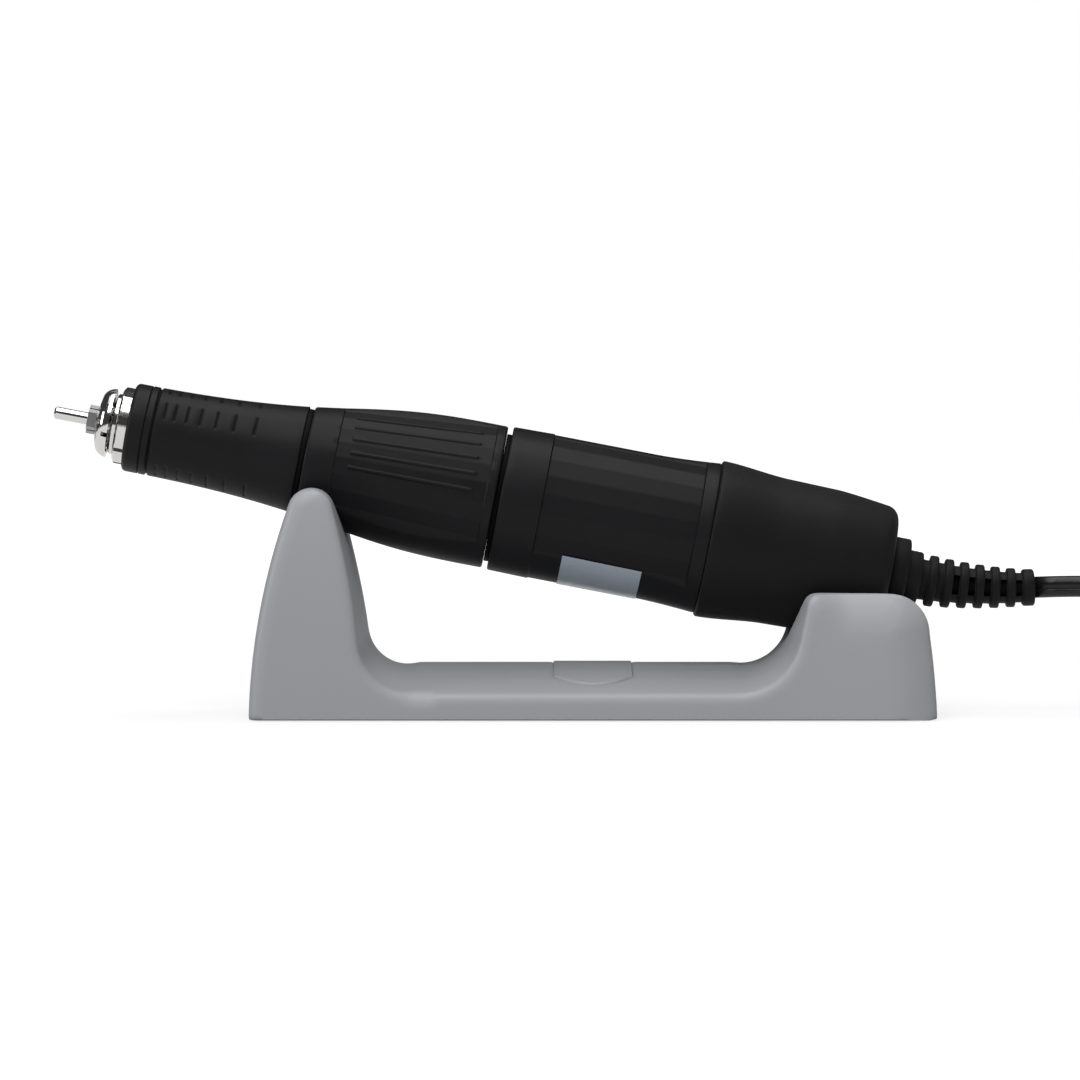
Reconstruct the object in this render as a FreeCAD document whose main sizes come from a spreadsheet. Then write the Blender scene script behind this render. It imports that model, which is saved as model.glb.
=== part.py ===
import FreeCAD, Part
import math
import os

import Sketcher
from FreeCAD import Placement, Rotation, Vector

# Micro-motor nail drill: a handpiece with a twist-lock chuck, resting on its cradle.
#
# Two frames are used. The row frame stands at the middle of the cradle's footprint, with +X
# towards the cord, +Y away from the near side and +Z up. The spindle frame starts at the tip
# of the pin in the chuck and looks along the spindle: its Z runs to the cord, its X points up
# and its Y points to the near side. Angles round the spindle are counted from its X to its Y.

SIZES = {
    # how the handpiece lies
    "tilt": 10.92,
    "tip_back": 103.38,
    "tip_height": 57.87,
    # pin held by the chuck
    "pin_radius": 1.175,
    "pin_reach": 6.6,
    "pin_depth": 23.4,
    "pin_chamfer": 0.35,
    "pin_groove": 0.2,
    "pin_groove_width": 0.6,
    "collet_mouth": 0.3,
    # running, seat and press clearances
    "bore_gap": 0.02,
    "slide_gap": 0.06,
    "run_gap": 0.1,
    "seat_gap": 0.3,
    "chuck_travel": 1.5,
    "twist_angle": 60.0,
    # collet and draw rod
    "hex_across": 4.8,
    "hex_length": 1.7,
    "collet_neck_radius": 2.3,
    "collet_head_radius": 2.75,
    "collet_head_length": 3.5,
    "collet_radius": 2.0,
    "collet_length": 32.0,
    "collet_slit": 0.35,
    "rod_radius": 1.05,
    "rod_screwed": 5.4,
    "rod_length": 25.4,
    "rod_tail_length": 4.6,
    "cross_pin_radius": 0.7,
    "cross_pin_back": 2.3,
    "thrust_radius": 5.0,
    "thrust_length": 2.6,
    "spring_wire": 0.5,
    "spring_turns": 6.0,
    "spring_seat": 2.0,
    # spindle and its dust dome
    "spindle_nose_radius": 3.4,
    "spindle_radius": 3.0,
    "spindle_length": 57.4,
    "dome_radius": 6.63,
    "dome_depth": 2.5,
    "dome_wall": 0.6,
    "dome_slot_width": 0.9,
    # nose of the housing
    "bush_radius": 5.85,
    "bush_reach": 1.8,
    "bush_lead": 0.5,
    "bush_relief": 0.9,
    "nut_radius": 7.4,
    "nut_lip": 0.6,
    "nut_thread_length": 1.5,
    "nut_notch_width": 1.7,
    "nut_notch_depth": 0.6,
    "nut_notch_turn": 35.8,
    # bearings of the spindle
    "spindle_bearing_width": 4.0,
    "spindle_bearing_radius": 6.0,
    "spindle_ball_radius": 0.95,
    "spacer_length": 24.0,
    "spacer_wall": 0.8,
    # front housing and grip sleeve
    "housing_radius": 7.6,
    "housing_rear_bore": 6.4,
    "housing_flange_radius": 11.6,
    "housing_flange_length": 8.8,
    "sleeve_length": 33.5,
    "sleeve_front_radius": 8.54,
    "sleeve_rear_radius": 10.35,
    "sleeve_groove_first": 6.6,
    "sleeve_groove_pitch": 2.0,
    "sleeve_groove_width": 0.45,
    "sleeve_groove_depth": 0.3,
    "sleeve_row_turn": 13.0,
    "sleeve_row_angle": 28.0,
    # twist ring and the cam in it
    "ring_gap": 1.0,
    "ring_collar_length": 5.7,
    "ring_front_radius": 10.5,
    "ring_collar_radius": 11.35,
    "ring_grip_length": 29.7,
    "ring_rim_radius": 13.8,
    "ring_rim_length": 1.7,
    "ring_bulge": 0.8,
    "ring_rib_width": 0.9,
    "ring_rib_height": 0.3,
    "ring_rib_inset": 2.6,
    "ring_ribs": 5,
    "ring_first_rib_turn": 29.5,
    "ring_rib_angle": 14.25,
    "cam_lip": 1.5,
    "cam_wall": 1.9,
    "guide_pin_radius": 0.9,
    "guide_pin_reach": 9.2,
    "pusher_length": 4.5,
    "pusher_bore": 3.4,
    # flat-sided grip panels
    "panel_middle": 70.5,
    "panel_facets": 7,
    "facet_angle": 16.0,
    "ring_flat_drop": 0.12,
    "case_flat_drop": 0.14,
    # click stop of the twist ring
    "detent_ball_radius": 1.0,
    "detent_circle": 8.7,
    "detent_depth": 5.0,
    "detent_turn": 20.0,
    # motor
    "shaft_radius": 1.5,
    "shaft_start": 70.0,
    "shaft_hole_gap": 1.2,
    "coupling_length": 11.6,
    "coupling_blade": 1.8,
    "coupling_blade_length": 3.2,
    "front_plate_length": 4.6,
    "motor_bearing_width": 3.0,
    "motor_bearing_radius": 4.0,
    "motor_ball_radius": 0.72,
    "yoke_wall": 1.0,
    "yoke_length": 37.0,
    "magnet_thickness": 2.3,
    "magnet_length": 30.0,
    "magnet_angle": 130.0,
    "core_radius": 8.6,
    "core_length": 24.0,
    "core_slots": 7,
    "slot_radius": 1.5,
    "slot_circle": 6.0,
    "slot_mouth": 0.8,
    "winding_end_length": 4.6,
    "winding_end_wall": 3.2,
    "commutator_radius": 4.0,
    "commutator_length": 6.5,
    "commutator_slit": 0.3,
    "end_cup_length": 9.0,
    "end_cup_bore": 9.2,
    "end_web": 4.0,
    "holder_radius": 2.4,
    "holder_bore": 1.75,
    "holder_inner_end": 5.2,
    "brush_length": 4.5,
    "brush_cap_length": 1.1,
    "brush_wire": 0.4,
    "motor_screw_radius": 0.8,
    "motor_screw_circle": 10.2,
    "motor_screw_head": 1.5,
    "motor_screw_head_height": 1.2,
    "lead_radius": 0.55,
    "lead_circle": 7.0,
    # motor case
    "case_gap": 1.0,
    "case_front_radius": 13.95,
    "case_collar_radius": 14.1,
    "case_collar_length": 7.9,
    "case_radius": 13.94,
    "case_panel_length": 30.0,
    "case_length": 40.65,
    "case_flare_length": 12.2,
    "case_rear_radius": 14.62,
    "label_start": 5.8,
    "label_length": 16.1,
    "label_thickness": 0.12,
    "label_turn": 127.0,
    "label_angle": 67.0,
    # rear boot and strain relief
    "boot_length": 35.25,
    "boot_lip_radius": 15.2,
    "boot_lip_length": 14.3,
    "boot_waist_radius": 14.1,
    "boot_shoulder_radius": 13.88,
    "boot_taper_length": 12.1,
    "boot_end_radius": 12.43,
    "boot_end_round": 2.2,
    "boot_end_wall": 2.2,
    "boot_inner_radius": 11.0,
    "relief_neck_radius": 5.6,
    "relief_flange_radius": 7.2,
    "relief_flange_length": 3.4,
    "relief_step_radius": 5.16,
    "relief_step_length": 2.8,
    "relief_straight": 5.4,
    "relief_bend": 100.0,
    "relief_rise": 2.5,
    "relief_ribs": 6,
    "relief_rib_pitch": 3.06,
    "relief_rib_width": 1.5,
    "relief_rib_radius": 4.92,
    "relief_core_radius": 3.85,
    "relief_narrowing": 0.075,
    "relief_collar_radius": 3.51,
    "relief_collar_length": 2.25,
    "relief_window": 5.2,
    # cord, its coil and its plug
    "cord_radius": 2.05,
    "coil_middle_x": 148.0,
    "coil_middle_y": 6.0,
    "coil_lift": 0.6,
    "coil_radius": 22.5,
    "coil_step": 5.25,
    "coil_layer": 4.7,
    "coil_layers": 4,
    "coil_layer_turns": 2.125,
    "tie_width": 9.0,
    "tie_room": 0.25,
    "tie_inner_room": 0.75,
    "lead_out": 32.0,
    "lead_aside": 3.0,
    "plug_relief_length": 17.0,
    "plug_relief_radius": 2.9,
    "plug_radius": 6.0,
    "plug_length": 21.0,
    "plug_shell_radius": 4.9,
    "plug_shell_length": 12.0,
    "plug_shell_wall": 0.7,
    "plug_pin_radius": 0.65,
    "plug_pin_length": 6.0,
    "plug_pin_circle": 2.2,
    # cradle
    "cradle_half_length": 65.1,
    "cradle_half_depth": 24.0,
    "cradle_wall": 2.5,
    "cradle_rounding": 2.4,
    "cradle_lift": 0.4,
    "fork_height": 43.75,
    "fork_middle": -53.4,
    "fork_shoulder_height": 40.3,
    "fork_half_width": 4.25,
    "fork_foot_x": -44.3,
    "fork_foot_height": 13.2,
    "fork_side_bow": 1.95,
    "fork_inside_bow": 0.65,
    "floor_height": 4.8,
    "floor_crown": 5.0,
    "floor_front_x": -33.4,
    "floor_rear_x": 27.0,
    "fillet_bow": 2.6,
    "wall_crown": 1.2,
    "rest_foot_x": 38.8,
    "rest_foot_height": 14.3,
    "rest_front_x": 40.7,
    "rest_height": 23.85,
    "rest_top_rear_x": 56.2,
    "rest_rear_x": 63.5,
    "rest_rear_height": 16.3,
    "rest_rear_bow": 2.1,
    "rest_corner": 1.7,
    "fork_notch_angle": 45.0,
    "fork_notch_round": 6.2,
    "rest_notch_angle": 45.0,
    "rest_notch_round": 9.5,
    "relief_notch_gap": 0.8,
    "finger_pad_half_width": 7.6,
    "finger_pad_half_length": 19.0,
    "finger_pad_bow": 4.5,
    "finger_pad_depth": 0.5,
    "base_pad_thickness": 0.8,
    "base_pad_margin": 3.0,
    "base_plate_thickness": 1.6,
    "base_plate_gap": 0.25,
    "boss_radius": 3.0,
    "boss_front_x": -54.0,
    "boss_rear_x": 50.0,
    "boss_y": 15.0,
    "screw_radius": 1.1,
    "screw_length": 8.0,
    "screw_head_radius": 2.1,
    "screw_head_height": 1.0,
}

doc = FreeCAD.newDocument("nail_drill")
sheet = doc.addObject("Spreadsheet::Sheet", "sizes")
for row, (name, number) in enumerate(SIZES.items(), start=1):
    sheet.set(f"A{row}", name)
    sheet.set(f"B{row}", str(number))
    sheet.setAlias(f"B{row}", name)
doc.recompute()


class Size:
    """A number from the sheet, or one worked out from such numbers, with its expression."""

    def __init__(self, value, text):
        self.value = float(value)
        self.text = text

    def __add__(self, other):
        other = as_size(other)
        return Size(self.value + other.value, f"({self.text} + {other.text})")

    def __sub__(self, other):
        other = as_size(other)
        return Size(self.value - other.value, f"({self.text} - {other.text})")

    def __mul__(self, other):
        other = as_size(other)
        return Size(self.value * other.value, f"({self.text} * {other.text})")

    def __truediv__(self, other):
        other = as_size(other)
        return Size(self.value / other.value, f"({self.text} / {other.text})")

    def __rsub__(self, other):
        return as_size(other) - self

    def __neg__(self):
        return self * -1

    __radd__ = __add__
    __rmul__ = __mul__


def as_size(number):
    """A plain number as a Size, and a Size as it is."""
    if isinstance(number, Size):
        return number
    return Size(number, f"({number:.6f})")


class Sheet:
    """Reads the sheet's cells by their aliases."""

    def __getattr__(self, name):
        return Size(getattr(sheet, name), f"sizes.{name}")


D = Sheet()
PARTS = []
NOTHING = 0.05


def bind(thing, **properties):
    """Bind properties of an object to expressions of the sheet."""
    for name, size in properties.items():
        thing.setExpression(name.replace("__", "."), as_size(size).text)
    return thing


def sub_part(thing, label, frame=None):
    """Give an object its label and its place, and list it for the export."""
    thing.Label = label
    if frame is not None:
        thing.Placement = frame
    PARTS.append(thing)
    return thing


def shaped(label, shape, frame=None):
    """A piece whose shape is worked out here from the sheet."""
    thing = doc.addObject("Part::Feature", label)
    thing.Shape = shape
    return sub_part(thing, label, frame)


def plane_of(body, role):
    """One of a body's own origin planes."""
    return next(item for item in body.Origin.OriginFeatures if item.Role == role)


def turned(name, corners):
    """A body turned about its Z axis, from corners (height, radius); a radius of 0 is the axis."""
    body = doc.addObject("PartDesign::Body", name)
    sketch = body.newObject("Sketcher::SketchObject", f"{name}_profile")
    sketch.AttachmentSupport = [(plane_of(body, "XZ_Plane"), "")]
    sketch.MapMode = "FlatFace"
    spots = [(as_size(height), as_size(radius)) for height, radius in corners]
    flat = [Vector(radius.value, height.value, 0) for height, radius in spots]
    for start, end in zip(flat, flat[1:] + flat[:1]):
        sketch.addGeometry(Part.LineSegment(start, end), False)
    count = len(flat)
    for side in range(count):
        sketch.addConstraint(Sketcher.Constraint("Coincident", side, 2, (side + 1) % count, 1))
    for side, (height, radius) in enumerate(spots):
        if radius.value == 0:
            sketch.addConstraint(Sketcher.Constraint("PointOnObject", side, 1, -2))
        else:
            at = sketch.addConstraint(
                Sketcher.Constraint("DistanceX", -1, 1, side, 1, radius.value)
            )
            sketch.setExpression(f"Constraints[{at}]", radius.text)
        at = sketch.addConstraint(Sketcher.Constraint("DistanceY", -1, 1, side, 1, height.value))
        sketch.setExpression(f"Constraints[{at}]", height.text)
    turn = body.newObject("PartDesign::Revolution", f"{name}_turn")
    turn.Profile = sketch
    turn.ReferenceAxis = (sketch, ["V_Axis"])
    turn.Angle = 360
    sketch.Visibility = False
    return body


def rounded(body, radius, *spots):
    """Round the turned edges that lie at the given (height, radius) corners of a body."""
    doc.recompute()
    last = body.Tip
    wanted = [(as_size(height).value, as_size(at).value) for height, at in spots]
    edges = []
    for number, edge in enumerate(last.Shape.Edges, start=1):
        middle = edge.valueAt(edge.FirstParameter)
        place = (middle.z, math.hypot(middle.x, middle.y))
        if edge.Closed and any(math.dist(place, spot) < NOTHING for spot in wanted):
            edges.append(f"Edge{number}")
    fillet = body.newObject("PartDesign::Fillet", f"{body.Name}_round")
    fillet.Base = (last, edges)
    bind(fillet, Radius=radius)
    return body


def tube(name, start, end, outer, inner):
    """A turned tube from one height to another."""
    return turned(name, [(start, inner), (start, outer), (end, outer), (end, inner)])


def cylinder(start, length, radius):
    """A plain cylinder along Z."""
    return bind(
        doc.addObject("Part::Cylinder", "cylinder"),
        Radius=radius,
        Height=length,
        Placement__Base__z=start,
    )


def box(low, high):
    """A plain box from its low corner to its high one."""
    low = [as_size(number) for number in low]
    high = [as_size(number) for number in high]
    return bind(
        doc.addObject("Part::Box", "box"),
        Length=high[0] - low[0],
        Width=high[1] - low[1],
        Height=high[2] - low[2],
        Placement__Base__x=low[0],
        Placement__Base__y=low[1],
        Placement__Base__z=low[2],
    )


def ball(x, height, radius):
    """A plain ball beside the Z axis."""
    return bind(
        doc.addObject("Part::Sphere", "ball"),
        Radius=radius,
        Placement__Base__x=x,
        Placement__Base__z=height,
    )


def radial_rod(height, inner, outer, radius):
    """A cylinder that points away from the Z axis along X."""
    rod = doc.addObject("Part::Cylinder", "radial_rod")
    rod.Placement = Placement(Vector(), Rotation(Vector(0, 1, 0), 90))
    return bind(
        rod,
        Radius=radius,
        Height=as_size(outer) - inner,
        Placement__Base__x=inner,
        Placement__Base__z=height,
    )


def group(things):
    """Separate solids, or tools that don't touch, as one object."""
    made = doc.addObject("Part::Compound", "group")
    made.Links = things
    return made


def joined(things):
    """Touching solids made one."""
    made = doc.addObject("Part::MultiFuse", "joined")
    made.Shapes = things
    return made


def minus(base, *tools):
    """A solid with tools cut out of it."""
    made = doc.addObject("Part::Cut", "minus")
    made.Base = base
    made.Tool = tools[0] if len(tools) == 1 else joined(list(tools))
    return made


def common(first, second):
    """What two objects share."""
    made = doc.addObject("Part::Common", "common")
    made.Base = first
    made.Tool = second
    return made


def around(thing, count, first=0.0, step=None):
    """Copies of an object, turned about the Z axis."""
    step = 360 / count if step is None else step
    copies = []
    for number in range(int(count)):
        copy = group([thing])
        copy.Placement = Placement(Vector(), Rotation(Vector(0, 0, 1), first + step * number))
        copies.append(copy)
    return group(copies)


def biarc(start, start_way, end, end_way):
    """Two arcs that leave start along start_way and reach end along end_way."""
    span = end - start
    ways = start_way + end_way
    lean = 2 * (1 - start_way.dot(end_way))
    across = span.dot(ways)
    if lean < 1e-9:
        reach = span.dot(span) / (2 * across)
    else:
        reach = (-across + math.sqrt(across * across + lean * span.dot(span))) / lean
    middle = (start + start_way * reach + end - end_way * reach) * 0.5
    return [arc_from(start, start_way, middle), arc_from(end, end_way * -1, middle).reversed_edge]


class TangentArc:
    """An arc from a point along a direction to another point."""

    def __init__(self, start, way, end):
        chord = end - start
        side = chord - way * chord.dot(way)
        half = math.atan2(side.Length, chord.dot(way)) / 2
        toward = side * (1 / side.Length) if side.Length > 1e-9 else side
        rise = chord.Length / 2 * math.tan(half)
        normal = toward * math.cos(2 * half) - way * math.sin(2 * half)
        self.start, self.end = start, end
        self.straight = side.Length < 1e-7
        self.middle = (start + end) * 0.5 - normal * rise

    @property
    def edge(self):
        """The arc as an edge that runs from its start."""
        if self.straight:
            return Part.LineSegment(self.start, self.end).toShape()
        return Part.Arc(self.start, self.middle, self.end).toShape()

    @property
    def reversed_edge(self):
        """The arc as an edge that runs to its start."""
        if self.straight:
            return Part.LineSegment(self.end, self.start).toShape()
        return Part.Arc(self.end, self.middle, self.start).toShape()


def arc_from(start, way, end):
    """The arc that leaves start along way and reaches end."""
    return TangentArc(start, way, end)


def path_through(points, ways):
    """A smooth chain of arcs through points, each passed in its given direction."""
    edges = []
    for start, way, end, last in zip(points, ways, points[1:], ways[1:]):
        first, second = biarc(start, way, end, last)
        edges += [first.edge, second]
    return edges


def tube_along(edges, radius):
    """A round tube along a smooth chain of edges."""
    first = edges[0]
    start = first.valueAt(first.FirstParameter)
    way = first.tangentAt(first.FirstParameter)
    ring = Part.Wire([Part.makeCircle(radius, start, way)])
    return Part.Wire(edges).makePipeShell([ring], True, False)


def spring(start, length, mean_radius, wire_radius, turns):
    """An open helical spring along Z, wound in quarter turns."""
    rise = (length - 2 * wire_radius) / turns
    steep = rise / (2 * math.pi * mean_radius)
    points, ways = [], []
    for quarter in range(int(round(turns * 4)) + 1):
        angle = quarter * math.pi / 2
        points.append(
            Vector(
                mean_radius * math.cos(angle),
                mean_radius * math.sin(angle),
                start + wire_radius + rise * quarter / 4,
            )
        )
        ways.append(Vector(-math.sin(angle), math.cos(angle), steep).normalize())
    return tube_along(path_through(points, ways), wire_radius)


# Stations along the spindle, counted from the tip of the pin.
NOSE = D.pin_reach
HEX_BACK = NOSE + D.hex_length
SPINDLE_FRONT = HEX_BACK + D.seat_gap
DOME_RIM = SPINDLE_FRONT + D.dome_depth
BUSH_FRONT = DOME_RIM + 2 * D.run_gap
HOUSING_FRONT = BUSH_FRONT + D.bush_reach
SLEEVE_FRONT = HOUSING_FRONT + D.nut_thread_length
FIRST_BEARING = HOUSING_FRONT + 3.0
SPACER_START = FIRST_BEARING + D.spindle_bearing_width
SECOND_BEARING = SPACER_START + D.spacer_length
BEARING_END = SECOND_BEARING + D.spindle_bearing_width
SLEEVE_END = SLEEVE_FRONT + D.sleeve_length
RING_FRONT = SLEEVE_END + D.ring_gap
GRIP_FRONT = RING_FRONT + D.ring_collar_length
GRIP_END = GRIP_FRONT + D.ring_grip_length
RING_END = GRIP_END + D.ring_rim_length
CASE_FRONT = RING_END + D.case_gap
FLANGE_FRONT = RING_END + D.case_gap / 2
FLANGE_END = FLANGE_FRONT + D.housing_flange_length
PLATE_END = FLANGE_END + D.front_plate_length
YOKE_END = PLATE_END + D.yoke_length
CUP_END = YOKE_END + D.end_cup_length
END_PLATE_END = CUP_END + D.end_web
CASE_END = CASE_FRONT + D.case_length
BOOT_END = CASE_END + D.boot_length
SPINDLE_END = SPINDLE_FRONT + D.spindle_length
COLLET_END = NOSE + D.collet_length
ROD_END = COLLET_END - D.rod_screwed + D.rod_length
CROSS_PIN = ROD_END - D.cross_pin_back
THRUST_FRONT = CROSS_PIN - D.thrust_length / 2
PUSHER_FRONT = CROSS_PIN + D.thrust_length / 2 + D.seat_gap
GUIDE_PIN = PUSHER_FRONT + D.pusher_length / 2
YOKE_RADIUS = D.housing_flange_radius + 0.8
HOUSING_BORE = D.spindle_bearing_radius
COLLET_BORE = D.pin_radius + D.bore_gap

TILT = math.radians(D.tilt.value)
AXIS = Vector(math.cos(TILT), 0, -math.sin(TILT))
UP = Vector(math.sin(TILT), 0, math.cos(TILT))
NEAR = Vector(0, -1, 0)
TIP = Vector(-D.tip_back.value, 0, D.tip_height.value)
SPINDLE_FRAME = Placement(TIP, Rotation(UP, NEAR, AXIS, "ZXY"))


def smooth_step(share):
    """A share from 0 to 1, eased at both ends."""
    return share * share * (3 - 2 * share)


def sweep_of(start, end, steps, radius_at, first=0):
    """Corners (height, radius) along a curve, evenly spaced; radius_at takes a share 0 to 1."""
    return [
        (start + (end - start) * (step / steps), radius_at(step / steps))
        for step in range(first, steps + 1)
    ]


def flat_sided(start, end, start_radius, end_radius, name):
    """Tool that leaves flat facets on both sides of a turned piece, between two heights."""
    count = int(D.panel_facets.value)
    facet = D.facet_angle.value
    far = 2 * D.boot_lip_radius.value
    sections = []
    for height, radius in ((start, start_radius), (end, end_radius)):
        inner = [(radius.value, (number - count / 2) * facet) for number in range(count + 1)]
        outer = [(far, angle) for _, angle in reversed(inner)]
        corners = [
            Vector(
                reach * math.cos(math.radians(angle)),
                reach * math.sin(math.radians(angle)),
                height.value,
            )
            for reach, angle in inner + outer
        ]
        sections.append(Part.makePolygon(corners + corners[:1]))
    tool = doc.addObject("Part::Feature", name)
    tool.Shape = Part.makeLoft(sections, True, True)
    return around(tool, 2, D.panel_middle.value)


def make_pin():
    """The steel pin that the chuck holds, with a fine groove that marks how deep it goes."""
    end = D.pin_reach + D.pin_depth
    groove = D.pin_reach - D.pin_groove_width * 0.3
    pin = turned(
        "pin",
        [
            (0.0, 0),
            (0.0, D.pin_radius - D.pin_chamfer),
            (D.pin_chamfer, D.pin_radius),
            (groove, D.pin_radius),
            (groove, D.pin_radius - D.pin_groove),
            (groove + D.pin_groove_width, D.pin_radius - D.pin_groove),
            (groove + D.pin_groove_width, D.pin_radius),
            (end, D.pin_radius),
            (end, 0),
        ],
    )
    sub_part(pin, "test_pin", SPINDLE_FRAME)


def make_collet():
    """Slit collet with a hexagon nose, its draw rod, cross pin and thrust collar."""
    head = HEX_BACK + D.seat_gap * 2
    head_end = head + D.collet_head_length
    stem = turned(
        "collet_stem",
        [
            (HEX_BACK, COLLET_BORE),
            (HEX_BACK, D.collet_neck_radius),
            (head, D.collet_neck_radius),
            (head, D.collet_head_radius),
            (head_end, D.collet_radius),
            (COLLET_END, D.collet_radius),
            (COLLET_END, D.rod_radius),
            (COLLET_END - D.rod_screwed, D.rod_radius),
            (COLLET_END - D.rod_screwed, COLLET_BORE),
        ],
    )
    nose = doc.addObject("Part::Prism", "hexagon")
    nose.Polygon = 6
    bind(
        nose,
        Circumradius=D.hex_across / 2 / math.cos(math.radians(30)),
        Height=D.hex_length,
        Placement__Base__z=NOSE,
    )
    bore = turned(
        "collet_mouth",
        [
            (NOSE - 1, 0),
            (NOSE - 1, COLLET_BORE + D.collet_mouth + 1),
            (NOSE + D.collet_mouth, COLLET_BORE),
            (NOSE + D.collet_length, COLLET_BORE),
            (NOSE + D.collet_length, 0),
        ],
    )
    slit = box(
        (0, -D.collet_slit / 2, NOSE - 1),
        (D.collet_head_radius * 2, D.collet_slit / 2, NOSE + D.collet_length * 0.55),
    )
    whole = minus(joined([minus(nose, bore), stem]), around(slit, 3, 30))
    sub_part(whole, "collet", SPINDLE_FRAME)

    rod = turned(
        "rod",
        [
            (COLLET_END - D.rod_screwed, 0),
            (COLLET_END - D.rod_screwed, D.rod_radius),
            (ROD_END - D.rod_tail_length, D.rod_radius),
            (ROD_END - D.rod_tail_length, D.collet_radius),
            (ROD_END, D.collet_radius),
            (ROD_END, 0),
        ],
    )
    reach = D.thrust_radius - D.slide_gap * 5
    hole = radial_rod(CROSS_PIN, -reach, reach, D.cross_pin_radius)
    sub_part(minus(rod, hole), "draw_rod", SPINDLE_FRAME)
    sub_part(group([radial_rod(CROSS_PIN, -reach, reach, D.cross_pin_radius)]), "cross_pin",
             SPINDLE_FRAME)
    collar = tube(
        "thrust",
        THRUST_FRONT,
        THRUST_FRONT + D.thrust_length,
        D.thrust_radius,
        D.spindle_radius + D.run_gap,
    )
    hole = radial_rod(CROSS_PIN, -reach, reach, D.cross_pin_radius)
    sub_part(minus(collar, hole), "thrust_collar", SPINDLE_FRAME)


def make_spindle():
    """Hollow spindle, its draw spring, dust dome and drive coupling."""
    seat = HEX_BACK + D.seat_gap * 2
    bore = D.collet_radius + D.slide_gap
    mouth = D.collet_head_radius + D.slide_gap * 2
    shoulder = COLLET_END + D.seat_gap
    body = turned(
        "spindle_body",
        [
            (SPINDLE_FRONT, mouth),
            (SPINDLE_FRONT, D.spindle_nose_radius),
            (FIRST_BEARING, D.spindle_nose_radius),
            (FIRST_BEARING, D.spindle_radius),
            (SPINDLE_END, D.spindle_radius),
            (SPINDLE_END, bore),
            (shoulder + D.spring_seat, bore),
            (shoulder + D.spring_seat, D.rod_radius + D.slide_gap * 2),
            (shoulder, D.rod_radius + D.slide_gap * 2),
            (shoulder, bore),
            (seat + D.collet_head_length, bore),
            (seat, mouth),
        ],
    )
    half = D.cross_pin_radius + D.slide_gap
    slot = box(
        (-D.thrust_radius, -half, CROSS_PIN - D.chuck_travel - half - D.run_gap),
        (D.thrust_radius, half, CROSS_PIN + half + D.run_gap),
    )
    blade_half = D.coupling_blade / 2 + D.slide_gap
    tail = box(
        (-D.thrust_radius, -blade_half, SPINDLE_END - D.coupling_blade_length - D.run_gap),
        (D.thrust_radius, blade_half, SPINDLE_END + 1),
    )
    sub_part(minus(body, slot, tail), "spindle", SPINDLE_FRAME)

    start = (shoulder + D.spring_seat).value
    length = (ROD_END - D.rod_tail_length).value - start
    mean = ((D.rod_radius + D.collet_radius) / 2 + D.slide_gap / 2).value
    wire = D.spring_wire.value / 2
    shaped(
        "draw_spring", spring(start, length, mean, wire, D.spring_turns.value), SPINDLE_FRAME
    )

    hub = D.spindle_nose_radius
    spread = D.dome_radius - hub - 0.35
    outer = sweep_of(
        SPINDLE_FRONT, DOME_RIM, 8,
        lambda share: hub + 0.35 + spread * math.sin(math.acos(1 - share)) ** 0.9,
    )
    inner = sweep_of(
        DOME_RIM, SPINDLE_FRONT + D.dome_wall, 8,
        lambda share: hub + 0.7 + (spread - D.dome_wall - 0.35) * math.cos(math.asin(share)),
    )
    dome = turned(
        "dome",
        [(SPINDLE_FRONT, hub), *outer, *inner, (DOME_RIM, hub + 0.7), (DOME_RIM, hub)],
    )
    slot = box(
        (hub + 1.6, -D.dome_slot_width / 2, DOME_RIM - 1.2),
        (D.dome_radius + 1, D.dome_slot_width / 2, DOME_RIM + 1),
    )
    sub_part(minus(dome, around(slot, 4, 20)), "dust_dome", SPINDLE_FRAME)

    end = SPINDLE_END + D.seat_gap + D.coupling_length
    hub = turned(
        "coupling_hub",
        [
            (SPINDLE_END + D.seat_gap, 0),
            (SPINDLE_END + D.seat_gap, D.spindle_radius),
            (end, D.spindle_radius),
            (end, D.shaft_radius),
            (D.shaft_start, D.shaft_radius),
            (D.shaft_start, 0),
        ],
    )
    blade = box(
        (-D.spindle_radius * 0.9, -D.coupling_blade / 2,
         SPINDLE_END - D.coupling_blade_length),
        (D.spindle_radius * 0.9, D.coupling_blade / 2, SPINDLE_END + D.seat_gap),
    )
    sub_part(joined([hub, blade]), "drive_coupling", SPINDLE_FRAME)


def make_bearings(label, starts, width, inner, outer, ball_radius, count):
    """Inner rings, outer rings and balls of ball bearings that share their sizes."""
    middle = (inner + outer) / 2
    track = ball_radius + D.bore_gap * 1.5
    lip = ball_radius * 0.58
    inner_rings, outer_rings, balls = [], [], []
    for number, start in enumerate(starts):
        tracks = []
        for _ in range(2):
            track_tool = bind(
                doc.addObject("Part::Torus", "track"),
                Radius1=middle,
                Radius2=track,
                Placement__Base__z=start + width / 2,
            )
            tracks.append(track_tool)
        inner_ring = tube(f"{label}_inner_{number}", start, start + width, middle - lip, inner)
        outer_ring = tube(f"{label}_outer_{number}", start, start + width, outer, middle + lip)
        inner_rings.append(minus(inner_ring, tracks[0]))
        outer_rings.append(minus(outer_ring, tracks[1]))
        balls.append(around(ball(middle, start + width / 2, ball_radius), count))
    sub_part(group(inner_rings), f"{label}_inner_rings", SPINDLE_FRAME)
    sub_part(group(outer_rings), f"{label}_outer_rings", SPINDLE_FRAME)
    sub_part(group(balls), f"{label}_balls", SPINDLE_FRAME)


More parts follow.
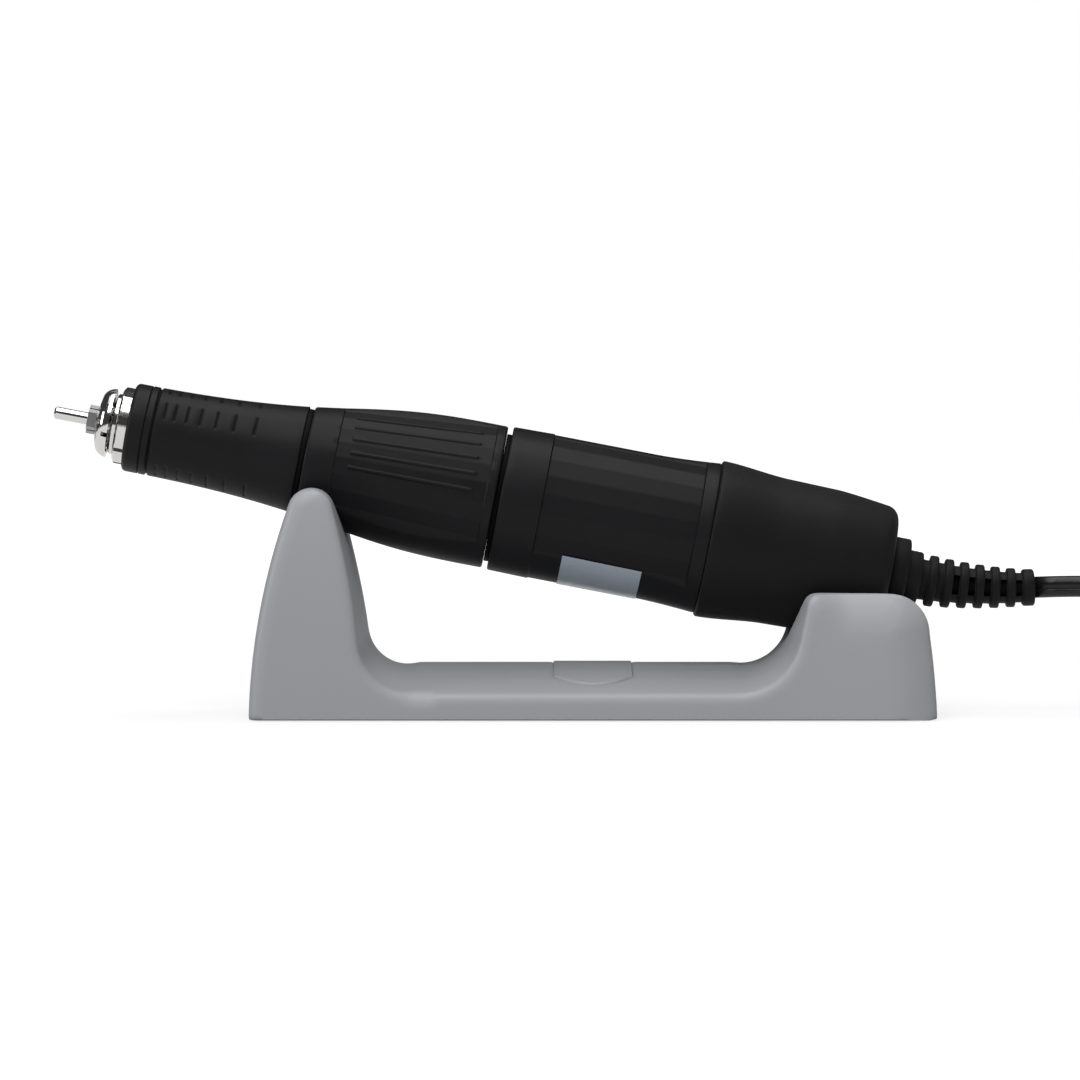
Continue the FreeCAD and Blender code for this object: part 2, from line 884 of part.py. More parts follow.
def make_nose():
    """Front bush, the notched ring nut that holds it, and the bearing spacer."""
    bush = turned(
        "bush",
        [
            (BUSH_FRONT, D.spindle_nose_radius + D.seat_gap),
            (BUSH_FRONT, D.bush_radius - D.bush_lead),
            (BUSH_FRONT + D.bush_lead, D.bush_radius),
            (HOUSING_FRONT, D.bush_radius),
            (HOUSING_FRONT, HOUSING_BORE),
            (FIRST_BEARING, HOUSING_BORE),
            (FIRST_BEARING, D.spindle_nose_radius + D.bush_relief),
            (HOUSING_FRONT, D.spindle_nose_radius + D.bush_relief),
            (HOUSING_FRONT, D.spindle_nose_radius + D.seat_gap),
        ],
    )
    sub_part(bush, "nose_bush", SPINDLE_FRAME)

    thread = D.housing_radius - 1
    front = HOUSING_FRONT - D.nut_lip
    nut = turned(
        "nut",
        [
            (front, D.bush_radius + D.slide_gap),
            (front, D.nut_radius - D.nut_lip),
            (front + D.nut_lip * 0.7, D.nut_radius),
            (SLEEVE_FRONT, D.nut_radius),
            (SLEEVE_FRONT, thread),
            (HOUSING_FRONT, thread),
            (HOUSING_FRONT, D.bush_radius + D.slide_gap),
        ],
    )
    notch = box(
        (D.nut_radius - D.nut_notch_depth, -D.nut_notch_width / 2, front + D.nut_lip * 0.5),
        (D.nut_radius + 1, D.nut_notch_width / 2, SLEEVE_FRONT + 1),
    )
    notches = around(notch, 8, D.nut_notch_turn.value)
    sub_part(minus(nut, notches), "front_nut", SPINDLE_FRAME)

    spacer = tube("spacer", SPACER_START, SECOND_BEARING, HOUSING_BORE,
                  HOUSING_BORE - D.spacer_wall)
    sub_part(spacer, "bearing_spacer", SPINDLE_FRAME)


def make_housing():
    """Metal housing that carries the spindle and the twist ring, and screws into the case."""
    thread = D.housing_radius - 1
    body = turned(
        "housing",
        [
            (HOUSING_FRONT, HOUSING_BORE),
            (HOUSING_FRONT, thread),
            (SLEEVE_FRONT, thread),
            (SLEEVE_FRONT, D.housing_radius),
            (FLANGE_FRONT, D.housing_radius),
            (FLANGE_FRONT, D.housing_flange_radius),
            (FLANGE_END, D.housing_flange_radius),
            (FLANGE_END, D.housing_rear_bore),
            (BEARING_END, D.housing_rear_bore),
            (BEARING_END, HOUSING_BORE),
        ],
    )
    half = D.guide_pin_radius + D.run_gap
    slot = box(
        (-D.ring_rim_radius, -half, GUIDE_PIN - D.chuck_travel - half - D.run_gap),
        (D.ring_rim_radius, half, GUIDE_PIN + half + D.run_gap),
    )
    pocket = cylinder(FLANGE_FRONT - 1, D.detent_depth + 1,
                      D.detent_ball_radius + D.slide_gap)
    bind(pocket, Placement__Base__x=D.detent_circle)
    pocket = around(pocket, 1, D.detent_turn.value)
    sub_part(minus(body, slot, pocket), "front_housing", SPINDLE_FRAME)

    middle = FLANGE_FRONT + D.detent_ball_radius * 0.45
    click = ball(D.detent_circle, middle, D.detent_ball_radius)
    sub_part(around(click, 1, D.detent_turn.value), "detent_ball", SPINDLE_FRAME)
    start = middle + D.detent_ball_radius * 0.8
    length = (FLANGE_FRONT + D.detent_depth - start).value
    wound = spring(start.value, length, D.detent_ball_radius.value * 0.68, 0.15, 4)
    turn = Placement(Vector(), Rotation(Vector(0, 0, 1), D.detent_turn.value))
    offset = Placement(Vector(D.detent_circle.value, 0, 0), Rotation())
    shaped("detent_spring", wound, SPINDLE_FRAME.multiply(turn).multiply(offset))


def make_sleeve():
    """Front grip sleeve with rows of short grooves."""
    rear, front = D.sleeve_rear_radius, D.sleeve_front_radius
    outside = sweep_of(
        SLEEVE_FRONT, SLEEVE_END, 12, lambda share: front + (rear - front) * share ** 2.4
    )
    body = turned(
        "sleeve",
        [(SLEEVE_FRONT, D.housing_radius), *outside, (SLEEVE_END, D.housing_radius)],
    )
    body = rounded(body, 0.9, (SLEEVE_FRONT, front))

    def surface(height):
        """The sleeve's radius at a height."""
        share = (height - SLEEVE_FRONT.value) / D.sleeve_length.value
        return front.value + (rear - front).value * max(share, 0) ** 2.4

    def groove(height, width, depth):
        """A ring groove round the sleeve."""
        cut = tube("groove", as_size(height), height + as_size(width), rear + 2,
                   as_size(surface(height)) - depth)
        return cut

    rings, height, pitch = [], SLEEVE_FRONT + D.sleeve_groove_first, D.sleeve_groove_pitch
    for _ in range(7):
        rings.append(groove(height.value, D.sleeve_groove_width, D.sleeve_groove_depth))
        height = height + pitch
        pitch = pitch * 1.15
    wedge = bind(
        doc.addObject("Part::Cylinder", "row"),
        Radius=rear + 3,
        Height=D.sleeve_length,
        Angle=D.sleeve_row_angle,
        Placement__Base__z=SLEEVE_FRONT,
    )
    half_row = D.sleeve_row_angle.value / 2
    rows = around(wedge, 8, D.sleeve_row_turn.value - half_row)
    short = common(group(rings), rows)
    thin = groove((SLEEVE_FRONT + 3.1).value, 0.35, 0.25)
    deep = groove((SLEEVE_FRONT + 4.6).value, 0.6, 0.45)
    sub_part(minus(body, group([thin, deep, short])), "grip_sleeve", SPINDLE_FRAME)


def make_twist_ring():
    """Twist ring with flat-sided grip panels, the cam sleeve in it, the pusher and its pins."""
    collar, rim = D.ring_collar_radius, D.ring_rim_radius
    bore = D.housing_radius + D.run_gap
    cam_outer = bore + D.cam_wall
    slot_reach = D.guide_pin_radius + D.run_gap * 1.5
    cam_front = GUIDE_PIN - D.chuck_travel - slot_reach - D.cam_lip
    edge = 0.3
    grip = sweep_of(
        GRIP_FRONT, GRIP_END, 16,
        lambda share: collar + (rim - collar) * share
        + D.ring_bulge * math.sin(math.pi * share),
    )
    body = turned(
        "ring",
        [
            (RING_FRONT, bore),
            (RING_FRONT, D.ring_front_radius - edge),
            (RING_FRONT + edge, D.ring_front_radius),
            *grip,
            (RING_END - edge, rim),
            (RING_END, rim - edge),
            (RING_END, cam_outer),
            (cam_front, cam_outer),
            (cam_front, bore),
        ],
    )
    drop = D.ring_flat_drop
    flats = flat_sided(GRIP_FRONT, GRIP_END, collar - drop, rim - drop, "ring_flats")
    slope = math.atan2((rim - collar).value, D.ring_grip_length.value)
    ribs = []
    middle = math.cos(math.radians(D.facet_angle.value / 2))
    for number in range(int(D.ring_ribs.value)):
        turn = D.ring_first_rib_turn.value + number * D.ring_rib_angle.value
        rod = doc.addObject("Part::Cylinder", "grip_rib")
        bind(rod, Radius=D.ring_rib_width / 2, Height=D.ring_grip_length - 2 * D.ring_rib_inset)
        start = (collar - drop).value * middle + math.tan(slope) * D.ring_rib_inset.value
        lift = (D.ring_rib_height - D.ring_rib_width / 2).value
        rod.Placement = Placement(
            Vector(start + lift, 0, (GRIP_FRONT + D.ring_rib_inset).value),
            Rotation(Vector(0, 1, 0), math.degrees(slope)),
        )
        ribs.append(around(rod, 2, turn))
    ring = joined([minus(body, flats), *ribs])
    sub_part(ring, "twist_ring", SPINDLE_FRAME)

    cam_end = FLANGE_FRONT - D.case_gap / 2 - D.run_gap
    cam = tube("cam", cam_front, cam_end, cam_outer, bore)
    tool = doc.addObject("Part::Feature", "cam_slot")
    tool.Shape = cam_slot_shape(bore.value - 1, cam_outer.value + 1)
    dimple = ball(D.detent_circle, cam_end + D.detent_ball_radius * 0.9, D.detent_ball_radius)
    dimples = around(dimple, 2, D.detent_turn.value, D.twist_angle.value)
    sub_part(minus(cam, around(tool, 2), dimples), "cam_sleeve", SPINDLE_FRAME)

    bush = tube("pusher_bush", PUSHER_FRONT, PUSHER_FRONT + D.pusher_length,
                D.housing_rear_bore - D.run_gap, D.pusher_bore)
    seat = D.pusher_bore + 1.2
    holes = around(radial_rod(GUIDE_PIN, seat, D.guide_pin_reach, D.guide_pin_radius), 2)
    sub_part(minus(bush, holes), "pusher", SPINDLE_FRAME)
    pins = around(radial_rod(GUIDE_PIN, seat, D.guide_pin_reach, D.guide_pin_radius), 2)
    sub_part(pins, "guide_pins", SPINDLE_FRAME)


def cam_slot_shape(inner, outer):
    """Helical slot in which a guide pin is pushed forward as the ring turns."""
    half = (D.guide_pin_radius + D.run_gap * 1.5).value
    turn, travel = D.twist_angle.value, D.chuck_travel.value
    middle_radius = (inner + outer) / 2
    over = math.degrees(half / middle_radius)
    steps = 14
    sections = []
    for step in range(steps + 1):
        angle = over - (turn + 2 * over) * step / steps
        share = min(max(-angle / turn, 0), 1)
        height = GUIDE_PIN.value - travel * share
        way = Vector(math.cos(math.radians(angle)), math.sin(math.radians(angle)), 0)
        corners = [
            way * reach + Vector(0, 0, height + side)
            for reach, side in ((inner, -half), (outer, -half), (outer, half), (inner, half))
        ]
        sections.append(Part.makePolygon(corners + corners[:1]))
    return Part.makeLoft(sections, True, True)


def make_motor_stator():
    """Front plate, yoke, magnets and end plate of the motor, with the screws through it."""
    edge = YOKE_RADIUS
    bearing = FLANGE_END + 1.0
    plate = turned(
        "front_plate",
        [
            (FLANGE_END, D.motor_bearing_radius - 1.2),
            (FLANGE_END, edge),
            (PLATE_END, edge),
            (PLATE_END, D.motor_bearing_radius),
            (bearing, D.motor_bearing_radius),
            (bearing, D.motor_bearing_radius - 1.2),
        ],
    )
    depth = D.front_plate_length - 0.8

    def screw_hole(start, length, gap):
        """A hole for a motor screw."""
        hole = cylinder(start, length, D.motor_screw_radius + gap)
        bind(hole, Placement__Base__x=D.motor_screw_circle)
        return around(hole, 2)

    tapped = screw_hole(PLATE_END - depth, depth + 1, 0)
    sub_part(minus(plate, tapped), "motor_front_plate", SPINDLE_FRAME)
    yoke = tube("yoke_tube", PLATE_END, YOKE_END, edge, edge - D.yoke_wall)
    sub_part(yoke, "motor_yoke", SPINDLE_FRAME)

    magnet_outer = edge - D.yoke_wall
    start = PLATE_END + (D.yoke_length - D.magnet_length) / 2 - 0.5
    block = bind(
        doc.addObject("Part::Cylinder", "magnet"),
        Radius=magnet_outer,
        Height=D.magnet_length,
        Angle=D.magnet_angle,
        Placement__Base__z=start,
    )
    hollow = cylinder(start - 1, D.magnet_length + 2, magnet_outer - D.magnet_thickness)
    magnet = minus(block, hollow)
    sub_part(around(magnet, 2, 90 - D.magnet_angle.value / 2), "motor_magnets", SPINDLE_FRAME)

    cup = turned(
        "end_cup",
        [
            (YOKE_END, D.end_cup_bore),
            (YOKE_END, edge),
            (END_PLATE_END, edge),
            (END_PLATE_END, D.shaft_radius + D.shaft_hole_gap),
            (CUP_END + D.motor_bearing_width, D.shaft_radius + D.shaft_hole_gap),
            (CUP_END + D.motor_bearing_width, D.motor_bearing_radius),
            (CUP_END, D.motor_bearing_radius),
            (CUP_END, D.end_cup_bore),
        ],
    )
    brush = BRUSH_HEIGHT
    sides = around(radial_rod(brush, D.end_cup_bore - 1, edge + 1, D.holder_radius), 2, 90)
    through = screw_hole(YOKE_END - 1, D.end_cup_length + D.end_web + 2, D.slide_gap)
    sub_part(minus(cup, sides, through), "rear_end_plate", SPINDLE_FRAME)

    shank = turned(
        "motor_screw",
        [
            (PLATE_END - depth + 0.3, 0),
            (PLATE_END - depth + 0.3, D.motor_screw_radius),
            (END_PLATE_END, D.motor_screw_radius),
            (END_PLATE_END, D.motor_screw_head),
            (END_PLATE_END + D.motor_screw_head_height, D.motor_screw_head),
            (END_PLATE_END + D.motor_screw_head_height, 0),
        ],
    )
    offset = group([shank])
    bind(offset, Placement__Base__x=D.motor_screw_circle)
    sub_part(around(offset, 2), "motor_screws", SPINDLE_FRAME)


BRUSH_HEIGHT = YOKE_END + 4.0


def make_motor_rotor():
    """Shaft, slotted core, windings and commutator."""
    end = CUP_END + D.motor_bearing_width + 0.5
    shaft = turned(
        "shaft",
        [
            (D.shaft_start, 0),
            (D.shaft_start, D.shaft_radius),
            (end, D.shaft_radius),
            (end, 0),
        ],
    )
    sub_part(shaft, "motor_shaft", SPINDLE_FRAME)

    start = PLATE_END + (D.yoke_length - D.core_length) / 2 - 0.5
    core_end = start + D.core_length
    core = tube("core", start, core_end, D.core_radius, D.shaft_radius)
    round_slot = cylinder(start - 1, D.core_length + 2, D.slot_radius)
    bind(round_slot, Placement__Base__x=D.slot_circle)
    mouth = box(
        (D.slot_circle, -D.slot_mouth / 2, start - 1),
        (D.core_radius + 1, D.slot_mouth / 2, core_end + 1),
    )
    slots = around(joined([round_slot, mouth]), int(D.core_slots.value))
    sub_part(minus(core, slots), "armature_core", SPINDLE_FRAME)

    bar = cylinder(start - 1, D.core_length + 2, D.slot_radius - 2 * D.run_gap)
    bind(bar, Placement__Base__x=D.slot_circle)
    bars = around(bar, int(D.core_slots.value))
    outer = D.slot_circle + D.winding_end_wall / 2
    inner = outer - D.winding_end_wall
    front = tube("winding_front", start - D.winding_end_length, start, outer, inner)
    rear = tube("winding_rear", core_end, core_end + D.winding_end_length, outer, inner)
    front = rounded(front, 1.2, (start - D.winding_end_length, outer))
    rear = rounded(rear, 1.2, (core_end + D.winding_end_length, outer))
    sub_part(joined([front, rear, bars]), "armature_windings", SPINDLE_FRAME)

    begin = BRUSH_HEIGHT - D.commutator_length / 2
    drum = tube("drum", begin, begin + D.commutator_length, D.commutator_radius,
                D.shaft_radius)
    slit = box(
        (D.commutator_radius - 0.6, -D.commutator_slit / 2, begin - 1),
        (D.commutator_radius + 1, D.commutator_slit / 2, begin + D.commutator_length + 1),
    )
    slits = around(slit, int(D.core_slots.value))
    sub_part(minus(drum, slits), "commutator", SPINDLE_FRAME)


def make_brushes():
    """Brush holders with their carbon brushes, springs and caps, and the motor leads."""
    outer_end = YOKE_RADIUS - D.seat_gap
    brush_start = D.commutator_radius + D.slide_gap
    brush_end = brush_start + D.brush_length
    cap_start = outer_end - D.brush_cap_length
    height = BRUSH_HEIGHT
    pipe = minus(
        radial_rod(height, D.holder_inner_end, outer_end, D.holder_radius),
        radial_rod(height, D.holder_inner_end - 1, outer_end + 1, D.holder_bore),
    )
    sub_part(around(pipe, 2, 90), "brush_holders", SPINDLE_FRAME)
    block = radial_rod(height, brush_start, brush_end, D.holder_bore - D.run_gap)
    sub_part(around(block, 2, 90), "carbon_brushes", SPINDLE_FRAME)
    cap = minus(
        radial_rod(height, cap_start, outer_end, D.holder_bore),
        box((outer_end - 0.5, -D.holder_bore, height - 0.3),
            (outer_end + 1, D.holder_bore, height + 0.3)),
    )
    sub_part(around(cap, 2, 90), "brush_caps", SPINDLE_FRAME)
    wire = D.brush_wire.value / 2
    wound = doc.addObject("Part::Feature", "brush_spring")
    wound.Shape = spring(
        0, (cap_start - brush_end).value, D.holder_bore.value - 3 * wire, wire, 4
    )
    laid = group([wound])
    laid.Placement = Placement(
        Vector(brush_end.value, 0, height.value), Rotation(Vector(0, 1, 0), 90)
    )
    sub_part(around(laid, 2, 90), "brush_springs", SPINDLE_FRAME)

    leads = []
    for side in (1, -1):
        far = D.lead_circle.value * side
        near = D.lead_radius.value * 1.6 * side
        base = END_PLATE_END.value
        tail = BOOT_END.value - D.boot_end_wall.value - D.slide_gap.value - 3.1
        points = [
            Vector(0, far, base),
            Vector(0, far, base + 2),
            Vector(0, near, tail - 2),
            Vector(0, near, tail),
        ]
        ways = [Vector(0, 0, 1)] * 4
        leads.append(tube_along(path_through(points, ways), D.lead_radius.value))
    shaped("motor_leads", Part.makeCompound(leads), SPINDLE_FRAME)


def case_radius_at(share):
    """Radius along the flare of the motor case."""
    return D.case_radius + (D.case_rear_radius - D.case_radius) * share ** 1.6


def make_case():
    """Motor case with flat-sided grip panels, and the blank label on it."""
    collar_end = CASE_FRONT + D.case_collar_length
    flare = CASE_END - D.case_flare_length
    panel_end = collar_end + D.case_panel_length
    edge = 0.35
    body = turned(
        "case",
        [
            (CASE_FRONT, D.housing_flange_radius),
            (CASE_FRONT, D.case_front_radius - edge),
            (CASE_FRONT + edge, D.case_front_radius),
            (collar_end, D.case_collar_radius),
            (collar_end, D.case_radius),
            *sweep_of(flare, CASE_END - edge, 8, case_radius_at),
            (CASE_END, D.case_rear_radius - edge),
            (CASE_END, YOKE_RADIUS),
            (FLANGE_END, YOKE_RADIUS),
            (FLANGE_END, D.housing_flange_radius),
        ],
    )
    level = D.case_radius - D.case_flat_drop
    flats = flat_sided(collar_end, panel_end, level, level, "case_flats")
    sub_part(minus(body, flats), "motor_case", SPINDLE_FRAME)

    start = collar_end + D.label_start
    inner = D.case_radius + D.slide_gap
    sheet_block = bind(
        doc.addObject("Part::Cylinder", "label_block"),
        Radius=inner + D.label_thickness,
        Height=D.label_length,
        Angle=D.label_angle,
        Placement__Base__z=start,
    )
    label = minus(sheet_block, cylinder(start - 1, D.label_length + 2, inner))
    sub_part(around(label, 1, D.label_turn.value), "blank_label", SPINDLE_FRAME)


def make_boot():
    """Rubber boot over the rear of the motor."""
    lip_end = CASE_END + D.boot_lip_length
    taper = BOOT_END - D.boot_taper_length
    lip, waist = D.boot_lip_radius, D.boot_waist_radius
    shoulder, end = D.boot_shoulder_radius, D.boot_end_radius
    edge = 0.4
    outside = [
        (CASE_END, lip - edge),
        (CASE_END + edge, lip),
        *sweep_of(CASE_END + edge, lip_end, 9,
                  lambda share: lip - (lip - waist) * smooth_step(share), first=1),
        (taper, shoulder),
        *sweep_of(taper, BOOT_END, 6,
                  lambda share: shoulder - (shoulder - end) * share ** 1.2, first=1),
    ]
    seat = YOKE_RADIUS + D.slide_gap
    step = END_PLATE_END + D.motor_screw_head_height + D.seat_gap
    wall_start = BOOT_END - D.boot_end_wall
    body = turned(
        "boot",
        [
            (CASE_END, seat),
            *outside,
            (BOOT_END, D.relief_neck_radius + D.slide_gap),
            (wall_start, D.relief_neck_radius + D.slide_gap),
            (wall_start, D.boot_inner_radius),
            (step, D.boot_inner_radius),
            (step, seat),
        ],
    )
    body = rounded(body, D.boot_end_round, (BOOT_END, end))
    sub_part(body, "rear_boot", SPINDLE_FRAME)


class ReliefPath:
    """Middle line of the strain relief: straight out of the boot, then bending level."""

    def __init__(self):
        self.start = BOOT_END.value
        self.straight = self.start + D.relief_straight.value
        self.bend = D.relief_bend.value
        self.turn = math.radians((D.tilt + D.relief_rise).value)

    def at(self, station):
        """Point and direction at a station, counted like those of the spindle."""
        if station <= self.straight:
            return Vector(0, 0, station), Vector(0, 0, 1)
        angle = (station - self.straight) / self.bend
        angle_bent = min(angle, self.turn)
        rest = (angle - angle_bent) * self.bend
        way = Vector(math.sin(angle_bent), 0, math.cos(angle_bent))
        point = Vector(
            self.bend * (1 - math.cos(angle_bent)), 0,
            self.straight + self.bend * math.sin(angle_bent),
        )
        return point + way * rest, way

    def circle(self, station, radius):
        """A circle square to the line, with its seam on the same side everywhere."""
        point, way = self.at(station)
        across = Vector(0, 1, 0)
        ring = Part.Circle(point, way, radius)
        ring.XAxis = across
        return Part.Wire([ring.toShape()])

    def edges(self, start, end):
        """The line as edges from one station to another."""
        bend_end = self.straight + self.bend * self.turn
        marks = [start, self.straight, min(bend_end, end)]
        if end > bend_end + NOTHING:
            marks.append(end)
        spots = [self.at(mark) for mark in marks]
        return [
            arc_from(first, way, last).edge
            for (first, way), (last, _) in zip(spots, spots[1:])
        ]


RELIEF = ReliefPath()


def relief_outline():
    """Stations and radii of the strain relief, from inside the boot to its end collar."""
    end = BOOT_END.value
    neck = D.relief_neck_radius.value
    wall = D.boot_end_wall.value
    flange = D.relief_flange_radius.value
    gap = D.slide_gap.value
    flange_end = end + D.relief_flange_length.value
    step_end = flange_end + D.relief_step_length.value
    step = D.relief_step_radius.value
    inner_end = end - wall - gap
    outline = [
        (inner_end - 1.6, flange), (inner_end, flange), (inner_end + 0.02, neck),
        (end + gap, neck), (end + gap + 0.02, flange), (flange_end, flange),
        (flange_end + 0.15, step), (step_end, step),
    ]
    pitch, width = D.relief_rib_pitch.value, D.relief_rib_width.value
    fall = D.relief_narrowing.value
    first = step_end + pitch - width / 2
    for rib in range(int(D.relief_ribs.value)):
        middle = first + rib * pitch
        rib_radius = D.relief_rib_radius.value - fall * rib * pitch
        core = D.relief_core_radius.value - fall * rib * pitch * 0.7
        outline += [
            (middle - width / 2 - 0.1, core), (middle - width / 2 + 0.1, rib_radius),
            (middle + width / 2 - 0.1, rib_radius), (middle + width / 2 + 0.1, core),
        ]
    collar_start = first + D.relief_ribs.value * pitch - width / 2
    collar_end = collar_start + D.relief_collar_length.value
    collar = D.relief_collar_radius.value
    core = D.cord_radius.value + 0.9
    outline += [
        (collar_start - 0.1, core), (collar_start + 0.1, collar), (collar_end, collar)
    ]
    return outline, first, collar_end


RELIEF_OUTLINE, FIRST_RIB, RELIEF_END = relief_outline()


def make_strain_relief():
    """Ribbed strain relief with windows between its ribs, and the cord inside it."""
    rings = [RELIEF.circle(station, radius) for station, radius in RELIEF_OUTLINE]
    body = Part.makeLoft(rings, True, True)
    start = RELIEF_OUTLINE[0][0]
    bore = tube_along(RELIEF.edges(start - 1, RELIEF_END + 1), D.cord_radius.value + 0.12)
    pitch, width = D.relief_rib_pitch.value, D.relief_rib_width.value
    opening = pitch - width - 0.3
    half = D.relief_window.value / 2
    reach = 2 * D.relief_rib_radius.value
    windows = []
    for gap in range(int(D.relief_ribs.value)):
        point, way = RELIEF.at(FIRST_RIB + (gap + 0.5) * pitch)
        window = Part.makeBox(2 * half, 2 * reach, opening, Vector(-half, -reach, -opening / 2))
        lean = Rotation(Vector(0, 0, 1), way)
        turn = Rotation(Vector(0, 0, 1), 90 * (gap % 2))
        window.Placement = Placement(point, lean.multiply(turn))
        windows.append(window)
    shaped("strain_relief", body.cut(Part.makeCompound([bore] + windows)), SPINDLE_FRAME)
    inside = tube_along(RELIEF.edges(start - 1.5, RELIEF_END), D.cord_radius.value)
    shaped("cord_tail", inside, SPINDLE_FRAME)


def route_edges(points):
    """Straight runs joined by arcs, each as large as its two runs allow."""
    edges, start, radii = [], points[0], []
    for before, corner, after in zip(points, points[1:], points[2:]):
        first, second = corner - before, after - corner
        half = first.getAngle(second) / 2
        reach = 0.45 * min(first.Length, second.Length)
        radii.append(reach / math.tan(half))
        arc_start = corner - first.normalize() * reach
        arc_end = corner + second.normalize() * reach
        if (arc_start - start).Length > 1e-6:
            edges.append(Part.LineSegment(start, arc_start).toShape())
        edges.append(arc_from(arc_start, first, arc_end).edge)
        start = arc_end
    edges.append(Part.LineSegment(start, points[-1]).toShape())
    return edges, radii


def coil_place(turns):
    """Middle of the coiled cord after a number of turns: layers spiral in and out, top down."""
    layers = int(D.coil_layers.value)
    per_layer = D.coil_layer_turns.value
    step, layer_height = D.coil_step.value, D.coil_layer.value
    widest = D.coil_radius.value + step * per_layer / 2
    narrowest = widest - step * per_layer
    level = D.coil_lift.value + D.cord_radius.value + (layers - 1) * layer_height
    layer, left = 0, turns
    while layer < layers - 1 and left > per_layer + 0.5:
        left -= per_layer + 0.5
        layer += 1
    level -= layer * layer_height
    inwards = layer % 2 == 0
    if left <= per_layer:
        share = left / per_layer
        radius = widest - step * left if inwards else narrowest + step * left
        drop = 0
    else:
        share = (left - per_layer) / 0.5
        radius = narrowest if inwards else widest
        drop = layer_height * smooth_step(min(share, 1.0))
    angle = 2 * math.pi * turns - math.pi / 2
    return Vector(
        D.coil_middle_x.value + radius * math.cos(angle),
        D.coil_middle_y.value + radius * math.sin(angle),
        level - drop,
    )


def coil_turns():
    """Number of turns in the whole coil."""
    layers = D.coil_layers.value
    return layers * D.coil_layer_turns.value + (layers - 1) * 0.5


def coil_ends():
    """Where the coiled cord starts and ends, one diameter before and after its turns."""
    ahead = Vector(2 * D.cord_radius.value, 0, 0)
    return coil_place(0) - ahead, coil_place(coil_turns()) + ahead


def make_coil():
    """The put-away length of the cord, wound as one tube, and the tie round it."""
    quarters = int(round(coil_turns() * 4))
    points, ways = [], []
    for quarter in range(quarters + 1):
        turns = quarter / 4
        points.append(coil_place(turns))
        low, high = max(turns - 0.01, 0), min(turns + 0.01, coil_turns())
        ways.append((coil_place(high) - coil_place(low)).normalize())
    ways[0] = ways[-1] = Vector(1, 0, 0)
    start, end = coil_ends()
    edges = [Part.LineSegment(start, points[0]).toShape()]
    edges += path_through(points, ways)
    edges.append(Part.LineSegment(points[-1], end).toShape())
    radius = D.cord_radius.value
    wound = tube_along(edges, radius)
    shaped("cord_coil", wound)
    length = sum(edge.Length for edge in edges)
    print(f"coil length {length:.1f}, least gap {least_gap(edges) - 2 * radius:.3f}")
    print(f"coil volume share {wound.Volume / (math.pi * radius ** 2 * length):.4f}")

    step, per_layer = D.coil_step.value, D.coil_layer_turns.value
    room = radius + D.tie_room.value
    outer = D.coil_radius.value + step * per_layer / 2 + room
    inner = D.coil_radius.value - step * per_layer / 2 - room - D.tie_inner_room.value
    top = 2 * radius + (D.coil_layers.value - 1) * D.coil_layer.value + D.tie_room.value
    thick = D.coil_lift.value
    depth = D.tie_width.value
    hole = Part.makeBox(outer - inner, depth + 2, top, Vector(inner, -depth / 2 - 1, thick))
    band = Part.makeBox(
        outer - inner + 2 * thick, depth, top + 2 * thick,
        Vector(inner - thick, -depth / 2, 0),
    )
    band = band.makeFillet(thick * 0.9, [edge for edge in band.Edges if is_along_y(edge)])
    place = Placement(
        Vector(D.coil_middle_x.value, D.coil_middle_y.value, 0),
        Rotation(Vector(0, 0, 1), 35),
    )
    shaped("coil_tie", band.cut(hole), place)


def is_along_y(edge):
    """Whether an edge runs along Y."""
    first, last = (vertex.Point for vertex in edge.Vertexes)
    return abs((last - first).normalize().y) > 0.99


def least_gap(edges):
    """Least distance between the middle lines of neighbouring turns, measured on points."""
    points = []
    for edge in edges:
        count = max(int(edge.Length / 1.5), 2)
        points += edge.discretize(count)[:-1]
    away = int(2 * math.pi * D.coil_radius.value * 0.4 / 1.5)
    return min(
        (points[first] - points[second]).Length
        for first in range(len(points))
        for second in range(first + away, len(points))
    )


def make_cord():
    """The free stretches of the cord: from the relief to the coil, and from the coil to the plug."""
    start, way = RELIEF.at(RELIEF_END)
    start = SPINDLE_FRAME.multVec(start)
    way = SPINDLE_FRAME.Rotation.multVec(way)
    coil_start, coil_end = coil_ends()
    points = [
        start,
        start + way * 11.0,
        Vector(108.0, -5.2, 23.7),
        Vector(119.0, -16.4, 19.9),
        coil_start - Vector(11.9, 0, 0),
        coil_start,
    ]
    lay_tube("cord", points)
    level = D.plug_radius.value
    out, aside = D.lead_out.value, D.lead_aside.value
    points = [
        coil_end,
        coil_end + Vector(out * 0.33, 0, 0),
        Vector(coil_end.x + out * 0.66, coil_end.y + aside, level),
        Vector(coil_end.x + out, coil_end.y + aside, level),
    ]
    lay_tube("plug_lead", points)


def lay_tube(label, points):
    """A free stretch of the cord, with its radii and its volume printed."""
    radius = D.cord_radius.value
    edges, radii = route_edges(points)
    stretch = tube_along(edges, radius)
    shaped(label, stretch)
    length = sum(edge.Length for edge in edges)
    share = stretch.Volume / (math.pi * radius ** 2 * length)
    print(label, f"length {length:.1f}, volume share {share:.4f}, radii",
          [round(number, 1) for number in radii])


